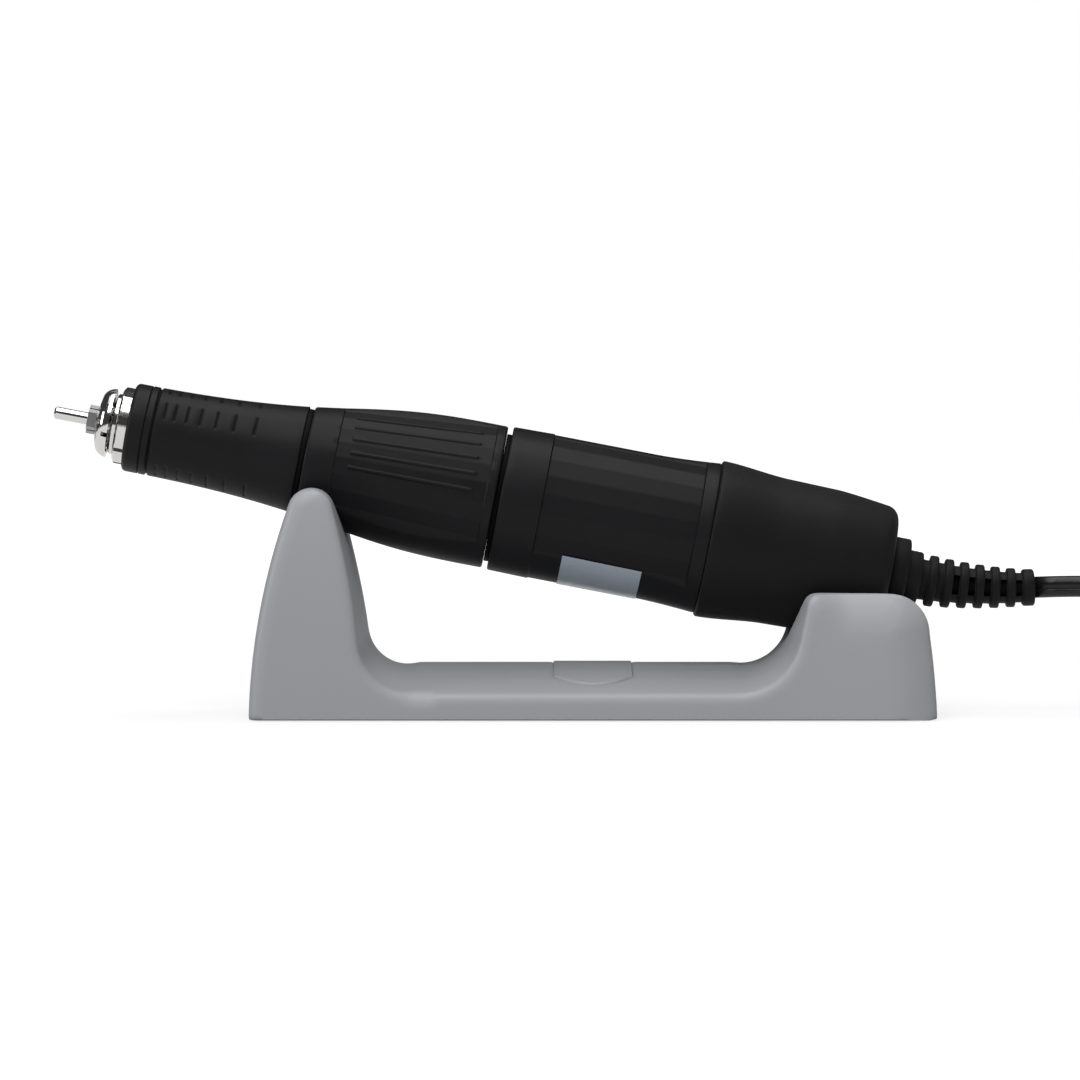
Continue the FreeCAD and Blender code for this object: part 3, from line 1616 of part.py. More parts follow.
def make_plug():
    """Round plug on the end of the cord, lying on the surface that the cradle stands on."""
    end = coil_ends()[1]
    root = Vector(end.x + D.lead_out.value, end.y + D.lead_aside.value, D.plug_radius.value)
    frame = Placement(root, Rotation(Vector(0, 0, -1), Vector(0, 1, 0), Vector(1, 0, 0), "ZXY"))
    base = D.plug_relief_length
    body_end = base + D.plug_length
    shell_end = body_end + D.plug_shell_length
    hole = D.cord_radius + D.slide_gap
    ribs = []
    count = 5
    pitch = base / count
    for rib in range(count):
        low = D.plug_relief_radius + (D.plug_radius - 1.2 - D.plug_relief_radius) * (rib / count)
        at = pitch * rib
        ribs += [(at + NOTHING, low), (at + pitch * 0.55, low + 0.1),
                 (at + pitch * 0.6, low - 0.45), (at + pitch * 0.95, low - 0.45)]
    relief = turned("plug_boot", [(NOTHING, hole), *ribs, (base, D.plug_radius - 1.5),
                                  (base, hole)])
    sub_part(relief, "plug_relief", frame)
    knurl_end = body_end - 4
    body = turned(
        "plug_grip",
        [
            (base, 0),
            (base, D.plug_radius - 0.8),
            (base + 0.8, D.plug_radius),
            (knurl_end, D.plug_radius),
            (knurl_end, D.plug_radius - 0.5),
            (body_end, D.plug_radius - 0.5),
            (body_end, 0),
        ],
    )
    flute = cylinder(base + 2.5, D.plug_length - 9, 0.5)
    bind(flute, Placement__Base__x=D.plug_radius + 0.1)
    sub_part(minus(body, around(flute, 16, 11.25)), "plug_body", frame)
    shell = turned(
        "plug_barrel",
        [
            (body_end, D.plug_shell_radius - D.plug_shell_wall),
            (body_end, D.plug_shell_radius),
            (shell_end - 0.4, D.plug_shell_radius),
            (shell_end, D.plug_shell_radius - 0.3),
            (shell_end, D.plug_shell_radius - D.plug_shell_wall),
        ],
    )
    sub_part(shell, "plug_shell", frame)
    insert_end = body_end + 4
    face = D.plug_shell_radius - D.plug_shell_wall
    insert = turned(
        "plug_core",
        [(body_end, 0), (body_end, face), (insert_end, face), (insert_end, 0)],
    )
    pin = cylinder(body_end + 1, insert_end - body_end - 1 + D.plug_pin_length,
                   D.plug_pin_radius)
    bind(pin, Placement__Base__x=D.plug_pin_circle)
    sub_part(minus(insert, around(pin, 3)), "plug_insert", frame)
    tip = turned(
        "plug_prong",
        [
            (body_end + 1, 0),
            (body_end + 1, D.plug_pin_radius),
            (insert_end + D.plug_pin_length - 0.4, D.plug_pin_radius),
            (insert_end + D.plug_pin_length, D.plug_pin_radius - 0.3),
            (insert_end + D.plug_pin_length, 0),
        ],
    )
    offset = group([tip])
    bind(offset, Placement__Base__x=D.plug_pin_circle)
    sub_part(around(offset, 3), "plug_pins", frame)


class CradleOutline:
    """Side outline of the cradle, as corners with the bow of the edge that follows each."""

    BELOW = 4.0

    def corners(self, crown):
        """Corners (x, z, bow) at a share of the crown; a bow is an arc's height over its chord."""
        below = -self.BELOW
        half = D.cradle_half_length.value
        fork, width = D.fork_middle.value, D.fork_half_width.value
        shoulder = D.fork_shoulder_height.value
        top_bow = D.fork_height.value - shoulder
        floor = D.floor_height.value + crown * D.floor_crown.value
        wall = crown * D.wall_crown.value
        lift = crown * D.floor_crown.value * 0.5
        rest = D.rest_height.value
        front = D.rest_front_x.value
        return [
            (-half, below, D.fork_side_bow.value),
            (fork - width, shoulder, top_bow),
            (fork + width, shoulder, D.fork_inside_bow.value),
            (D.fork_foot_x.value + wall, D.fork_foot_height.value + lift,
             -D.fillet_bow.value),
            (D.floor_front_x.value, floor, 0.0),
            (D.floor_rear_x.value, floor, -D.fillet_bow.value),
            (D.rest_foot_x.value - wall, D.rest_foot_height.value + lift, 0.0),
            (front - wall * 0.3, rest, 0.0),
            (D.rest_top_rear_x.value, rest, D.rest_rear_bow.value),
            (D.rest_rear_x.value, D.rest_rear_height.value, 0.3),
            (half, below, 0.0),
        ]

    def wire(self, y, crown, inset):
        """The outline in the plane at y, drawn in by inset all round but at its foot."""
        corners = self.corners(crown)
        spots = [Vector(x, 0, z) for x, z, _ in corners]
        bows = [bow for _, _, bow in corners]
        count = len(spots)
        leaving, arriving = [], []
        for number in range(count):
            start, end = spots[number], spots[(number + 1) % count]
            chord = end - start
            swing = 2 * math.degrees(math.atan2(2 * bows[number], chord.Length))
            way = Vector(chord).normalize()
            leaving.append(Rotation(Vector(0, 1, 0), -swing).multVec(way))
            arriving.append(Rotation(Vector(0, 1, 0), swing).multVec(way))
        moved = []
        for number in range(count):
            way = leaving[number] + arriving[number - 1]
            reach = 2 * inset / max(way.dot(way), 1.0)
            if number in (0, count - 1):
                way, reach = leaving[0] if number == 0 else arriving[number - 1], inset
            moved.append(spots[number] + Vector(way.z, 0, -way.x) * reach)
        moved[0].z = moved[-1].z = -self.BELOW
        for number in range(count):
            old = (spots[(number + 1) % count] - spots[number]).Length
            new = (moved[(number + 1) % count] - moved[number]).Length
            bows[number] *= new / old
        self.round_corner(moved, bows, max(D.rest_corner.value - inset, 0.2))
        count = len(moved)
        edges = [
            self.edge(moved[number], moved[(number + 1) % count], bows[number], y)
            for number in range(count)
        ]
        return Part.Wire(edges)

    def round_corner(self, spots, bows, reach):
        """Round the sharp front edge of the rest's top, between two straight edges."""
        at = next(end for end in range(1, len(bows)) if bows[end - 1] == bows[end] == 0)
        before = Vector(spots[at - 1] - spots[at]).normalize()
        after = Vector(spots[at + 1] - spots[at]).normalize()
        start, end = spots[at] + before * reach, spots[at] + after * reach
        turn = math.pi - before.getAngle(after)
        bow = (end - start).Length / 2 * math.tan(turn / 4)
        spots[at:at + 1] = [start, end]
        bows[at:at + 1] = [bow, 0.0]

    def edge(self, start, end, bow, y):
        """A line, or an arc that stands off its chord by the bow."""
        shift = Vector(0, y, 0)
        if abs(bow) < 1e-9:
            return Part.LineSegment(start + shift, end + shift).toShape()
        way = Vector(end - start).normalize()
        middle = (start + end) * 0.5 - Vector(way.z, 0, -way.x) * bow
        return Part.Arc(start + shift, middle + shift, end + shift).toShape()

    def solid(self, inset, rounding):
        """The body between the near and far sides, with its long edges rounded."""
        half = D.cradle_half_depth.value - inset
        flat = half - rounding
        places = []
        for step in range(-4, 5):
            places.append((flat * step / 4, 0.0))
        for step in range(1, 5):
            angle = math.radians(90 * step / 4)
            y = flat + rounding * math.sin(angle)
            draw = rounding * (1 - math.cos(angle))
            places.append((y, draw))
            places.append((-y, draw))
        wires = []
        full = D.cradle_half_depth.value
        for y, draw in sorted(places):
            crown = 1 - (y / full) ** 2
            wires.append(self.wire(y, crown, inset + draw))
        return Part.makeLoft(wires, True, True)


def notch_shape(start, end, radius, angle, rounding):
    """Tool for a V-shaped notch with a round bottom that a round piece rests in."""
    lean = math.radians(angle)
    middle = -(radius - rounding) / math.sin(lean)
    bottom = Vector(middle - rounding, 0, start)
    tangent = Vector(middle - rounding * math.sin(lean), rounding * math.cos(lean), start)
    reach = 60.0
    top = tangent + Vector(math.cos(lean), math.sin(lean), 0) * reach

    def mirrored(point):
        """The point on the other side of the notch."""
        return Vector(point.x, -point.y, point.z)

    edges = [
        Part.Arc(mirrored(tangent), bottom, tangent).toShape(),
        Part.LineSegment(tangent, top).toShape(),
        Part.LineSegment(top, mirrored(top)).toShape(),
        Part.LineSegment(mirrored(top), mirrored(tangent)).toShape(),
    ]
    face = Part.Face(Part.Wire(edges))
    tool = face.extrude(Vector(0, 0, end - start))
    tool.Placement = SPINDLE_FRAME
    return tool


def station_at(x, radius):
    """Station of the handpiece's underside above a place x of the cradle."""
    return (x + D.tip_back.value + radius * math.sin(TILT)) / math.cos(TILT)


def ring_radius_at(station):
    """Largest radius of the twist ring at a station."""
    share = (station - GRIP_FRONT.value) / D.ring_grip_length.value
    share = min(max(share, 0), 1)
    collar, rim = D.ring_collar_radius.value, D.ring_rim_radius.value
    return collar + (rim - collar) * share + D.ring_bulge.value * math.sin(math.pi * share)


def cradle_notches(grow):
    """The fork's notch, the rest's trough and the strain relief's slot, grown by an amount."""
    gap = D.seat_gap.value + grow
    fork_rear = D.fork_middle.value + D.fork_half_width.value + 2.4
    fork_station = station_at(fork_rear, D.ring_front_radius.value)
    ring_radius = ring_radius_at(fork_station)
    fork = notch_shape(
        fork_station - 35, fork_station + 12, ring_radius + gap,
        D.fork_notch_angle.value, D.fork_notch_round.value + grow,
    )
    boot = D.boot_waist_radius.value
    rest_station = BOOT_END.value - D.boot_taper_length.value * 3
    trough = notch_shape(
        rest_station, BOOT_END.value + gap, boot + gap,
        D.rest_notch_angle.value, D.rest_notch_round.value + grow,
    )
    slot_radius = D.relief_flange_radius.value + D.relief_notch_gap.value + grow
    slot = notch_shape(
        BOOT_END.value - 2, BOOT_END.value + 40, slot_radius, 75, slot_radius * 0.98,
    )
    return [fork, trough, slot]


def boss_places():
    """Middles of the four screw bosses."""
    return [
        Vector(x, side * D.boss_y.value, 0)
        for x in (D.boss_front_x.value, D.boss_rear_x.value)
        for side in (-1, 1)
    ]


def make_cradle():
    """Hollow cradle with a fork in front and a rest behind, its base plate, pad and screws."""
    outline = CradleOutline()
    outer = outline.solid(0, D.cradle_rounding.value)
    wall = D.cradle_wall.value
    cavity = outline.solid(wall, D.cradle_rounding.value * 0.4)
    for tool in cradle_notches(0):
        outer = outer.cut(tool)
    for tool in cradle_notches(wall):
        cavity = cavity.cut(tool)
    foot = D.cradle_lift.value
    plate_bottom = D.base_pad_thickness.value
    plate_top = plate_bottom + D.base_plate_thickness.value
    screw = D.screw_radius.value
    for place in boss_places():
        boss = Part.makeCylinder(D.boss_radius.value, D.fork_height.value,
                                 place + Vector(0, 0, plate_top))
        cavity = cavity.cut(boss)
    shell = outer.cut(cavity)
    long = 4 * D.cradle_half_length.value
    below = Part.makeBox(long, long, 20, Vector(-long / 2, -long / 2, foot - 20))
    holes = [
        Part.makeCylinder(screw, D.screw_length.value, place + Vector(0, 0, plate_top - 1))
        for place in boss_places()
    ]
    shell = shell.cut(Part.makeCompound([below] + holes))
    lowered = outer.copy()
    lowered.translate(Vector(0, 0, -D.finger_pad_depth.value))
    shell = shell.cut(finger_pad().cut(lowered))
    shaped("cradle_shell", shell)

    gap = D.base_plate_gap.value
    half_x = D.cradle_half_length.value - wall - gap - 0.4
    half_y = D.cradle_half_depth.value - wall - gap
    plate = slab(half_x, half_y, 1.6, plate_bottom, plate_top)
    head = D.screw_head_height.value
    for place in boss_places():
        through = Part.makeCylinder(screw + D.slide_gap.value, 5, place)
        sink = Part.makeCylinder(
            D.screw_head_radius.value + D.run_gap.value, head,
            place + Vector(0, 0, plate_bottom),
        )
        plate = plate.cut(through.fuse(sink))
    shaped("cradle_base_plate", plate)
    margin = D.base_pad_margin.value
    shaped("cradle_base_pad", slab(half_x - margin, half_y - margin, 4.0, 0, plate_bottom))

    screws = []
    for place in boss_places():
        start = place + Vector(0, 0, plate_bottom + NOTHING)
        cap = Part.makeCylinder(D.screw_head_radius.value, head - NOTHING, start)
        stem = Part.makeCylinder(screw, D.screw_length.value - 0.5 - 1 + 1.6, start)
        screws.append(cap.fuse(stem).removeSplitter())
    shaped("cradle_screws", Part.makeCompound(screws))


def slab(half_x, half_y, corner, low, high):
    """A flat plate with round corners."""
    block = Part.makeBox(2 * half_x, 2 * half_y, high - low, Vector(-half_x, -half_y, low))
    upright = [
        edge for edge in block.Edges
        if abs((edge.Vertexes[0].Point - edge.Vertexes[1].Point).z) > (high - low) / 2
    ]
    return block.makeFillet(corner, upright)


def finger_pad():
    """Upright prism with the plan of the shallow pad in the cradle's floor."""
    wide, long = D.finger_pad_half_width.value, D.finger_pad_half_length.value
    side = long - D.finger_pad_bow.value
    low, high = 1.0, D.rest_height.value
    left_near, right_near = Vector(-wide, -side, low), Vector(wide, -side, low)
    left_far, right_far = Vector(-wide, side, low), Vector(wide, side, low)
    edges = [
        Part.Arc(left_near, Vector(0, -long, low), right_near).toShape(),
        Part.LineSegment(right_near, right_far).toShape(),
        Part.Arc(right_far, Vector(0, long, low), left_far).toShape(),
        Part.LineSegment(left_far, left_near).toShape(),
    ]
    return Part.Face(Part.Wire(edges)).extrude(Vector(0, 0, high - low))


def make_model():
    """Every piece, from the tip of the handpiece to the plug, and the cradle."""
    make_pin()
    make_collet()
    make_spindle()
    make_nose()
    make_housing()
    make_sleeve()
    make_twist_ring()
    make_bearings(
        "spindle_bearing", [FIRST_BEARING, SECOND_BEARING], D.spindle_bearing_width,
        D.spindle_radius, D.spindle_bearing_radius, D.spindle_ball_radius, 9,
    )
    make_bearings(
        "motor_bearing", [FLANGE_END + 1.0, CUP_END], D.motor_bearing_width,
        D.shaft_radius, D.motor_bearing_radius, D.motor_ball_radius, 7,
    )
    make_motor_stator()
    make_motor_rotor()
    make_brushes()
    make_case()
    make_boot()
    make_strain_relief()
    make_cord()
    make_coil()
    make_plug()
    make_cradle()


def check_and_export():
    """Stop if anything failed, then write each piece to its own file."""
    doc.recompute()
    for thing in doc.Objects:
        if "Invalid" in thing.State or "Error" in thing.State:
            raise RuntimeError(f"{thing.Label} failed: {thing.State}")
    os.makedirs("parts", exist_ok=True)
    for thing in PARTS:
        shape = thing.Shape
        if shape.isNull() or not shape.isValid() or not shape.Solids:
            raise RuntimeError(f"{thing.Label} has no valid solid")
        shape.exportStep(f"parts/{thing.Label}.step")
    print(len(PARTS), "parts written")


make_model()
check_and_export()
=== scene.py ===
import logging
import math
from collections.abc import Iterator
from contextlib import contextmanager
from dataclasses import dataclass
from enum import Enum
from functools import cache
from typing import ClassVar

import bmesh
import bpy
from mathutils import Matrix, Vector
from mathutils.bvhtree import BVHTree
from mathutils.kdtree import KDTree


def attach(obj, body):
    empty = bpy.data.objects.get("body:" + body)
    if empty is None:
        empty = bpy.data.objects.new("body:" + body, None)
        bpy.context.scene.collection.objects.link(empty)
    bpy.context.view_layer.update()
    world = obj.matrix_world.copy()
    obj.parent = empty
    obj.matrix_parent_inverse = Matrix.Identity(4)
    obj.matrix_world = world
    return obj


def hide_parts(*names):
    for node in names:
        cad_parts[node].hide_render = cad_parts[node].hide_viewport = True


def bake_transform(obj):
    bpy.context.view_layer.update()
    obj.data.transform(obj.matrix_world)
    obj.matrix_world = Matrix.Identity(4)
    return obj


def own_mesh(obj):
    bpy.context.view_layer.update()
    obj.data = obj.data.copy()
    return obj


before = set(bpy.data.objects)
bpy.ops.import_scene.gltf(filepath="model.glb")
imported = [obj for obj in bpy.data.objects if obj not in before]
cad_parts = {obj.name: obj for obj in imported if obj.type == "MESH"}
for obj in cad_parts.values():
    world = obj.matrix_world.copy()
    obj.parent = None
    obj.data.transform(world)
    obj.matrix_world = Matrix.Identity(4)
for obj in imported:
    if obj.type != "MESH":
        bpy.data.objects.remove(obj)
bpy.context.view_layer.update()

log = logging.getLogger("nail_drill")
MM = 0.001


class Body(str, Enum):
    """Moving bodies that pieces ride on."""

    CRADLE = "cradle"
    HANDPIECE = "handpiece"
    RING = "chuck_ring"
    SPINDLE = "spindle_body"


@dataclass(frozen=True)
class SpindleFrame:
    """Frame of the handpiece: Z along the spindle towards the cord, X up, Y to the near side."""

    tip_back: float = 103.38
    tip_height: float = 57.87
    tilt: float = math.radians(10.92)

    @property
    def axis(self) -> Vector:
        """Way along the spindle, towards the cord."""
        return Vector((math.cos(self.tilt), 0.0, -math.sin(self.tilt)))

    def matrix(self) -> Matrix:
        """Transform from the spindle frame, in millimetres, to the shared frame, in metres.

        Returns:
            The transform.
        """
        up = Vector((math.sin(self.tilt), 0.0, math.cos(self.tilt)))
        turn = Matrix((up, Vector((0.0, -1.0, 0.0)), self.axis)).transposed().to_4x4()
        shift = Matrix.Translation(Vector((-self.tip_back, 0.0, self.tip_height)) * MM)
        return shift @ turn @ Matrix.Scale(MM, 4)


SPINDLE = SpindleFrame()


# Nodes of materials and modifiers


class Wiring:
    """Adds and links nodes of one tree."""

    def __init__(self, tree: bpy.types.NodeTree) -> None:
        """Keep the tree that nodes are added to."""
        self.tree = tree

    def add(self, kind: str, values: dict | None = None, **settings: object) -> bpy.types.Node:
        """Add a node.

        Args:
            kind: identifier of the node.
            values: input sockets by name or index, each with a plain value, a socket to link
                or a node whose first output is linked.
            settings: properties of the node.

        Returns:
            The node.
        """
        node = self.tree.nodes.new(kind)
        for name, setting in settings.items():
            setattr(node, name, setting)
        for key, value in (values or {}).items():
            if isinstance(value, bpy.types.Node):
                value = value.outputs[0]
            if isinstance(value, bpy.types.NodeSocket):
                self.tree.links.new(value, node.inputs[key])
            else:
                node.inputs[key].default_value = value
        return node

    def math(self, operation: str, *values: object) -> bpy.types.Node:
        """Add a math node."""
        return self.add("ShaderNodeMath", dict(enumerate(values)), operation=operation)

    def group(self, tree: bpy.types.NodeTree, values: dict) -> bpy.types.Node:
        """Add a shader group with its values."""
        return self.add("ShaderNodeGroup", values, node_tree=tree)


def new_group(name: str, kind: str, inputs: dict, outputs: dict) -> Wiring:
    """Make a node group with named sockets.

    Args:
        name: name of the group.
        kind: "Shader" or "Geometry".
        inputs: kind of each input by its name, or the number that it starts from.
        outputs: kind of each output by its name.

    Returns:
        The wiring of the group's empty tree.
    """
    group = bpy.data.node_groups.new(name, f"{kind}NodeTree")
    for direction, sockets in (("INPUT", inputs), ("OUTPUT", outputs)):
        for label, given in sockets.items():
            named = isinstance(given, str)
            socket = group.interface.new_socket(
                name=label, in_out=direction,
                socket_type=f"NodeSocket{given if named else 'Float'}",
            )
            if not named:
                socket.default_value = given
    return Wiring(group)


@cache
def grain_group() -> bpy.types.NodeTree:
    """Fine moulded grain: a height from two sizes of noise.

    Returns:
        The group, which is made once.
    """
    wire = new_group(
        "moulded_grain", "Shader", {"Vector": "Vector", "Size": 9000.0}, {"Height": "Float"}
    )
    given = wire.add("NodeGroupInput").outputs
    broad_scale, broad_weight = 0.21, 0.6
    fine = {"Vector": given["Vector"], "Scale": given["Size"], "Detail": 2.0}
    broad = {
        "Vector": given["Vector"], "Scale": wire.math("MULTIPLY", given["Size"], broad_scale),
        "Detail": 1.0,
    }
    both = wire.math(
        "MULTIPLY_ADD", wire.add("ShaderNodeTexNoise", broad), broad_weight,
        wire.add("ShaderNodeTexNoise", fine),
    )
    wire.add("NodeGroupOutput", {"Height": both})
    return wire.tree


@cache
def handling_group() -> bpy.types.NodeTree:
    """Faint marks of handling: a mask from 0 to 1 with soft patches and smears.

    Returns:
        The group, which is made once.
    """
    wire = new_group(
        "handling_marks", "Shader",
        {"Vector": "Vector", "Size": 90.0, "Contrast": 1.6}, {"Mask": "Float"},
    )
    given = wire.add("NodeGroupInput").outputs
    patches = wire.add(
        "ShaderNodeTexNoise",
        {"Vector": given["Vector"], "Scale": given["Size"], "Detail": 4.0, "Roughness": 0.62,
         "Distortion": 0.6},
    )
    centred = wire.math("SUBTRACT", patches, 0.5)
    strong = wire.math("MULTIPLY_ADD", centred, given["Contrast"], 0.5)
    wire.add("NodeGroupOutput", {"Mask": wire.add("ShaderNodeClamp", {"Value": strong})})
    return wire.tree


@cache
def turning_group() -> bpy.types.NodeTree:
    """Fine lathe lines round the Z axis of the given vector.

    Returns:
        The group, which is made once.
    """
    wire = new_group(
        "turning_lines", "Shader", {"Vector": "Vector", "Pitch": 9000.0}, {"Height": "Float"}
    )
    given = wire.add("NodeGroupInput").outputs
    parts = wire.add("ShaderNodeSeparateXYZ", {0: given["Vector"]})
    along = wire.add("ShaderNodeCombineXYZ", {"Z": parts.outputs["Z"]})
    lines = wire.add(
        "ShaderNodeTexNoise", {"Vector": along, "Scale": given["Pitch"], "Detail": 2.0}
    )
    wire.add("NodeGroupOutput", {"Height": lines})
    return wire.tree


def blank_material(name: str) -> tuple[bpy.types.Material, Wiring]:
    """Make a material with no nodes yet, and its wiring.

    Args:
        name: name of the material.

    Returns:
        The material and the wiring of its empty tree.
    """
    material = bpy.data.materials.new(name)
    material.use_nodes = True
    material.node_tree.nodes.clear()
    return material, Wiring(material.node_tree)


# Finishes


def linear(*channels: int) -> tuple[float, ...]:
    """A display colour, 0 to 255 a channel, as linear light by the sRGB curve.

    Args:
        channels: red, green and blue.

    Returns:
        The channels as shares of full light.
    """
    shares = [channel / 255 for channel in channels]
    return tuple(
        share / 12.92 if share <= 0.04045 else ((share + 0.055) / 1.055) ** 2.4
        for share in shares
    )


@dataclass(frozen=True)
class Finish:
    """A moulded, coated or turned surface: colour, gloss, grain and marks of handling."""

    name: str
    colour: tuple[float, ...]
    roughness: float = 0.5
    roughness_spread: float = 0.08
    colour_spread: float = 0.06
    metallic: float = 0.0
    specular: float = 0.5
    sheen: float = 0.0
    grain_size: float = 6000.0
    grain_depth: float = 0.02
    mark_size: float = 60.0
    turned: bool = False
    turning_pitch: float = 14000.0

    def material(self) -> bpy.types.Material:
        """The material of this finish: the frame's own of that name, or one made once.

        Returns:
            The material.
        """
        known = bpy.data.materials.get(self.name)
        if known:
            return known
        material, wire = blank_material(self.name)
        place = wire.add("ShaderNodeTexCoord").outputs["Object"]
        marks = wire.group(handling_group(), {"Vector": place, "Size": self.mark_size})
        rough = wire.math(
            "MULTIPLY_ADD", marks, self.roughness_spread,
            self.roughness - self.roughness_spread / 2,
        )
        darker, lighter = (
            [*(min(channel * (1 + change), 1.0) for channel in self.colour), 1.0]
            for change in (-self.colour_spread, self.colour_spread)
        )
        tint = wire.add(
            "ShaderNodeMix", {"Factor": marks, 6: darker, 7: lighter}, data_type="RGBA"
        )
        bump = wire.add(
            "ShaderNodeBump",
            {"Height": self.height(wire, place), "Strength": 1.0,
             "Distance": self.grain_depth * MM},
        )
        shader = wire.add(
            "ShaderNodeBsdfPrincipled",
            {"Base Color": tint.outputs[2], "Roughness": rough, "Metallic": self.metallic,
             "Specular IOR Level": self.specular, "Sheen Weight": self.sheen, "Normal": bump},
        )
        wire.add("ShaderNodeOutputMaterial", {"Surface": shader})
        return material

    def height(self, wire: Wiring, place: bpy.types.NodeSocket) -> bpy.types.Node:
        """Add the lathe lines or the grain, at object coordinates.

        Args:
            wire: the material's wiring.
            place: object coordinates.

        Returns:
            The node that gives the height.
        """
        if not self.turned:
            return wire.group(grain_group(), {"Vector": place, "Size": self.grain_size})
        turn = (0.0, -(math.pi / 2 + SPINDLE.tilt), 0.0)
        along = wire.add(
            "ShaderNodeMapping", {"Vector": place, "Rotation": turn}, vector_type="POINT"
        )
        return wire.group(turning_group(), {"Vector": along, "Pitch": self.turning_pitch})


def lathed(
    name: str, colour: tuple[float, ...], roughness: float, depth: float, **more: float
) -> Finish:
    """A turned metal surface with lathe lines of some depth."""
    return Finish(
        name, colour, roughness, metallic=1.0, turned=True, grain_depth=depth, **more
    )


class Finishes:
    """Every finish of the drill and its cradle."""

    cradle_grey = Finish(
        "cradle_grey", linear(148, 150, 153), 0.48, colour_spread=0.015,
        grain_size=5200.0, grain_depth=0.012, mark_size=22.0, specular=0.4,
    )
    foot_black = Finish("foot_black", linear(38, 38, 40), 0.62)
    pad_rubber = Finish(
        "pad_rubber", linear(30, 30, 31), 0.8, grain_size=3000.0, grain_depth=0.03,
        specular=0.3,
    )
    grip_black = Finish(
        "grip_black", linear(19, 19, 21), 0.5, roughness_spread=0.12, colour_spread=0.2,
        grain_size=7000.0, grain_depth=0.006, specular=0.16, mark_size=110.0,
    )
    case_black = Finish(
        "case_black", linear(18, 18, 20), 0.48, roughness_spread=0.1, colour_spread=0.16,
        grain_size=8000.0, grain_depth=0.004, specular=0.16, mark_size=90.0,
    )
    boot_rubber = Finish(
        "boot_rubber", linear(18, 18, 19), 0.55, roughness_spread=0.14, colour_spread=0.18,
        grain_size=5000.0, grain_depth=0.01, specular=0.14, mark_size=70.0, sheen=0.02,
    )
    sheath_black = Finish(
        "sheath_black", linear(15, 15, 16), 0.34, roughness_spread=0.1, colour_spread=0.15,
        grain_size=5000.0, grain_depth=0.006, specular=0.35,
    )
    # Painted shade: a near-black with little specular for the cord inside the relief and the rings
    # in the slits, where shade falls.
    painted_shade_black = Finish(
        "painted_shade_black", linear(7, 7, 8), 0.6, colour_spread=0.15, grain_size=5000.0,
        grain_depth=0.006, specular=0.08,
    )
    plug_black = Finish(
        "plug_black", linear(26, 26, 28), 0.45, colour_spread=0.12, grain_depth=0.008,
        specular=0.35,
    )
    label_film = Finish(
        "label_film", linear(176, 184, 194), 0.3, colour_spread=0.05, grain_size=2500.0,
        grain_depth=0.003, mark_size=240.0, metallic=0.35,
    )
    nose_steel = lathed(
        "nose_steel", (0.70, 0.69, 0.68), 0.12, 0.002, roughness_spread=0.1,
        colour_spread=0.03,
    )
    collet_steel = lathed(
        "collet_steel", (0.34, 0.34, 0.34), 0.3, 0.003, roughness_spread=0.12,
        colour_spread=0.12,
    )
    machined_steel = lathed(
        "machined_steel", (0.52, 0.52, 0.53), 0.32, 0.004, roughness_spread=0.12
    )
    bright_plate = Finish(
        "bright_plate", (0.75, 0.75, 0.76), 0.2, metallic=1.0, grain_depth=0.002
    )
    plain_aluminium = lathed("plain_aluminium", (0.70, 0.70, 0.72), 0.35, 0.004)
    dark_magnet = Finish("dark_magnet", linear(72, 72, 76), 0.55, metallic=0.4)
    copper_wire = lathed("copper_wire", (0.72, 0.36, 0.17), 0.3, 0.05, turning_pitch=3000.0)
    contact_brass = lathed("contact_brass", (0.78, 0.60, 0.28), 0.25, 0.003)
    brush_carbon = Finish("brush_carbon", linear(48, 48, 50), 0.7)
    inner_plastic = Finish("inner_plastic", linear(60, 60, 64), 0.5)
    wire_red = Finish("wire_red", linear(150, 30, 28), 0.4)
    strap_black = Finish(
        "strap_black", linear(28, 28, 30), 0.75, grain_size=2600.0, grain_depth=0.06,
        specular=0.25,
    )


NODE_FINISHES: dict[Finish, tuple[str, ...]] = {
    Finishes.cradle_grey: ("cradle_shell",),
    Finishes.foot_black: ("cradle_base_plate",),
    Finishes.pad_rubber: ("cradle_base_pad",),
    Finishes.grip_black: ("grip_sleeve", "twist_ring", "front_housing"),
    Finishes.case_black: ("motor_case",),
    Finishes.boot_rubber: ("rear_boot", "strain_relief"),
    Finishes.sheath_black: ("cord", "cord_coil", "plug_lead", "plug_relief"),
    # The cord inside the relief is painted in shade.
    Finishes.painted_shade_black: ("cord_tail",),
    Finishes.plug_black: ("plug_body", "plug_insert", "brush_caps"),
    Finishes.label_film: ("blank_label",),
    Finishes.nose_steel: ("front_nut", "nose_bush", "dust_dome", "test_pin"),
    Finishes.collet_steel: ("collet",),
    Finishes.machined_steel: (
        "bearing_spacer", "spindle", "draw_rod", "cross_pin", "thrust_collar", "pusher",
        "guide_pins", "cam_sleeve", "drive_coupling", "motor_shaft", "motor_screws",
        "motor_yoke", "armature_core", "detent_ball", "detent_spring", "draw_spring",
        "brush_springs", "spindle_bearing_outer_rings", "spindle_bearing_inner_rings",
        "spindle_bearing_balls", "motor_bearing_outer_rings", "motor_bearing_inner_rings",
        "motor_bearing_balls",
    ),
    Finishes.bright_plate: ("plug_shell", "cradle_screws"),
    Finishes.plain_aluminium: ("motor_front_plate",),
    Finishes.dark_magnet: ("motor_magnets",),
    Finishes.copper_wire: ("armature_windings",),
    Finishes.contact_brass: ("commutator", "brush_holders", "plug_pins"),
    Finishes.brush_carbon: ("carbon_brushes",),
    Finishes.inner_plastic: ("rear_end_plate",),
    Finishes.wire_red: ("motor_leads",),
    Finishes.strap_black: ("coil_tie",),
}


def dress(piece: bpy.types.Object, finish: Finish) -> None:
    """Give a piece one finish all over."""
    piece.data.materials.clear()
    piece.data.materials.append(finish.material())


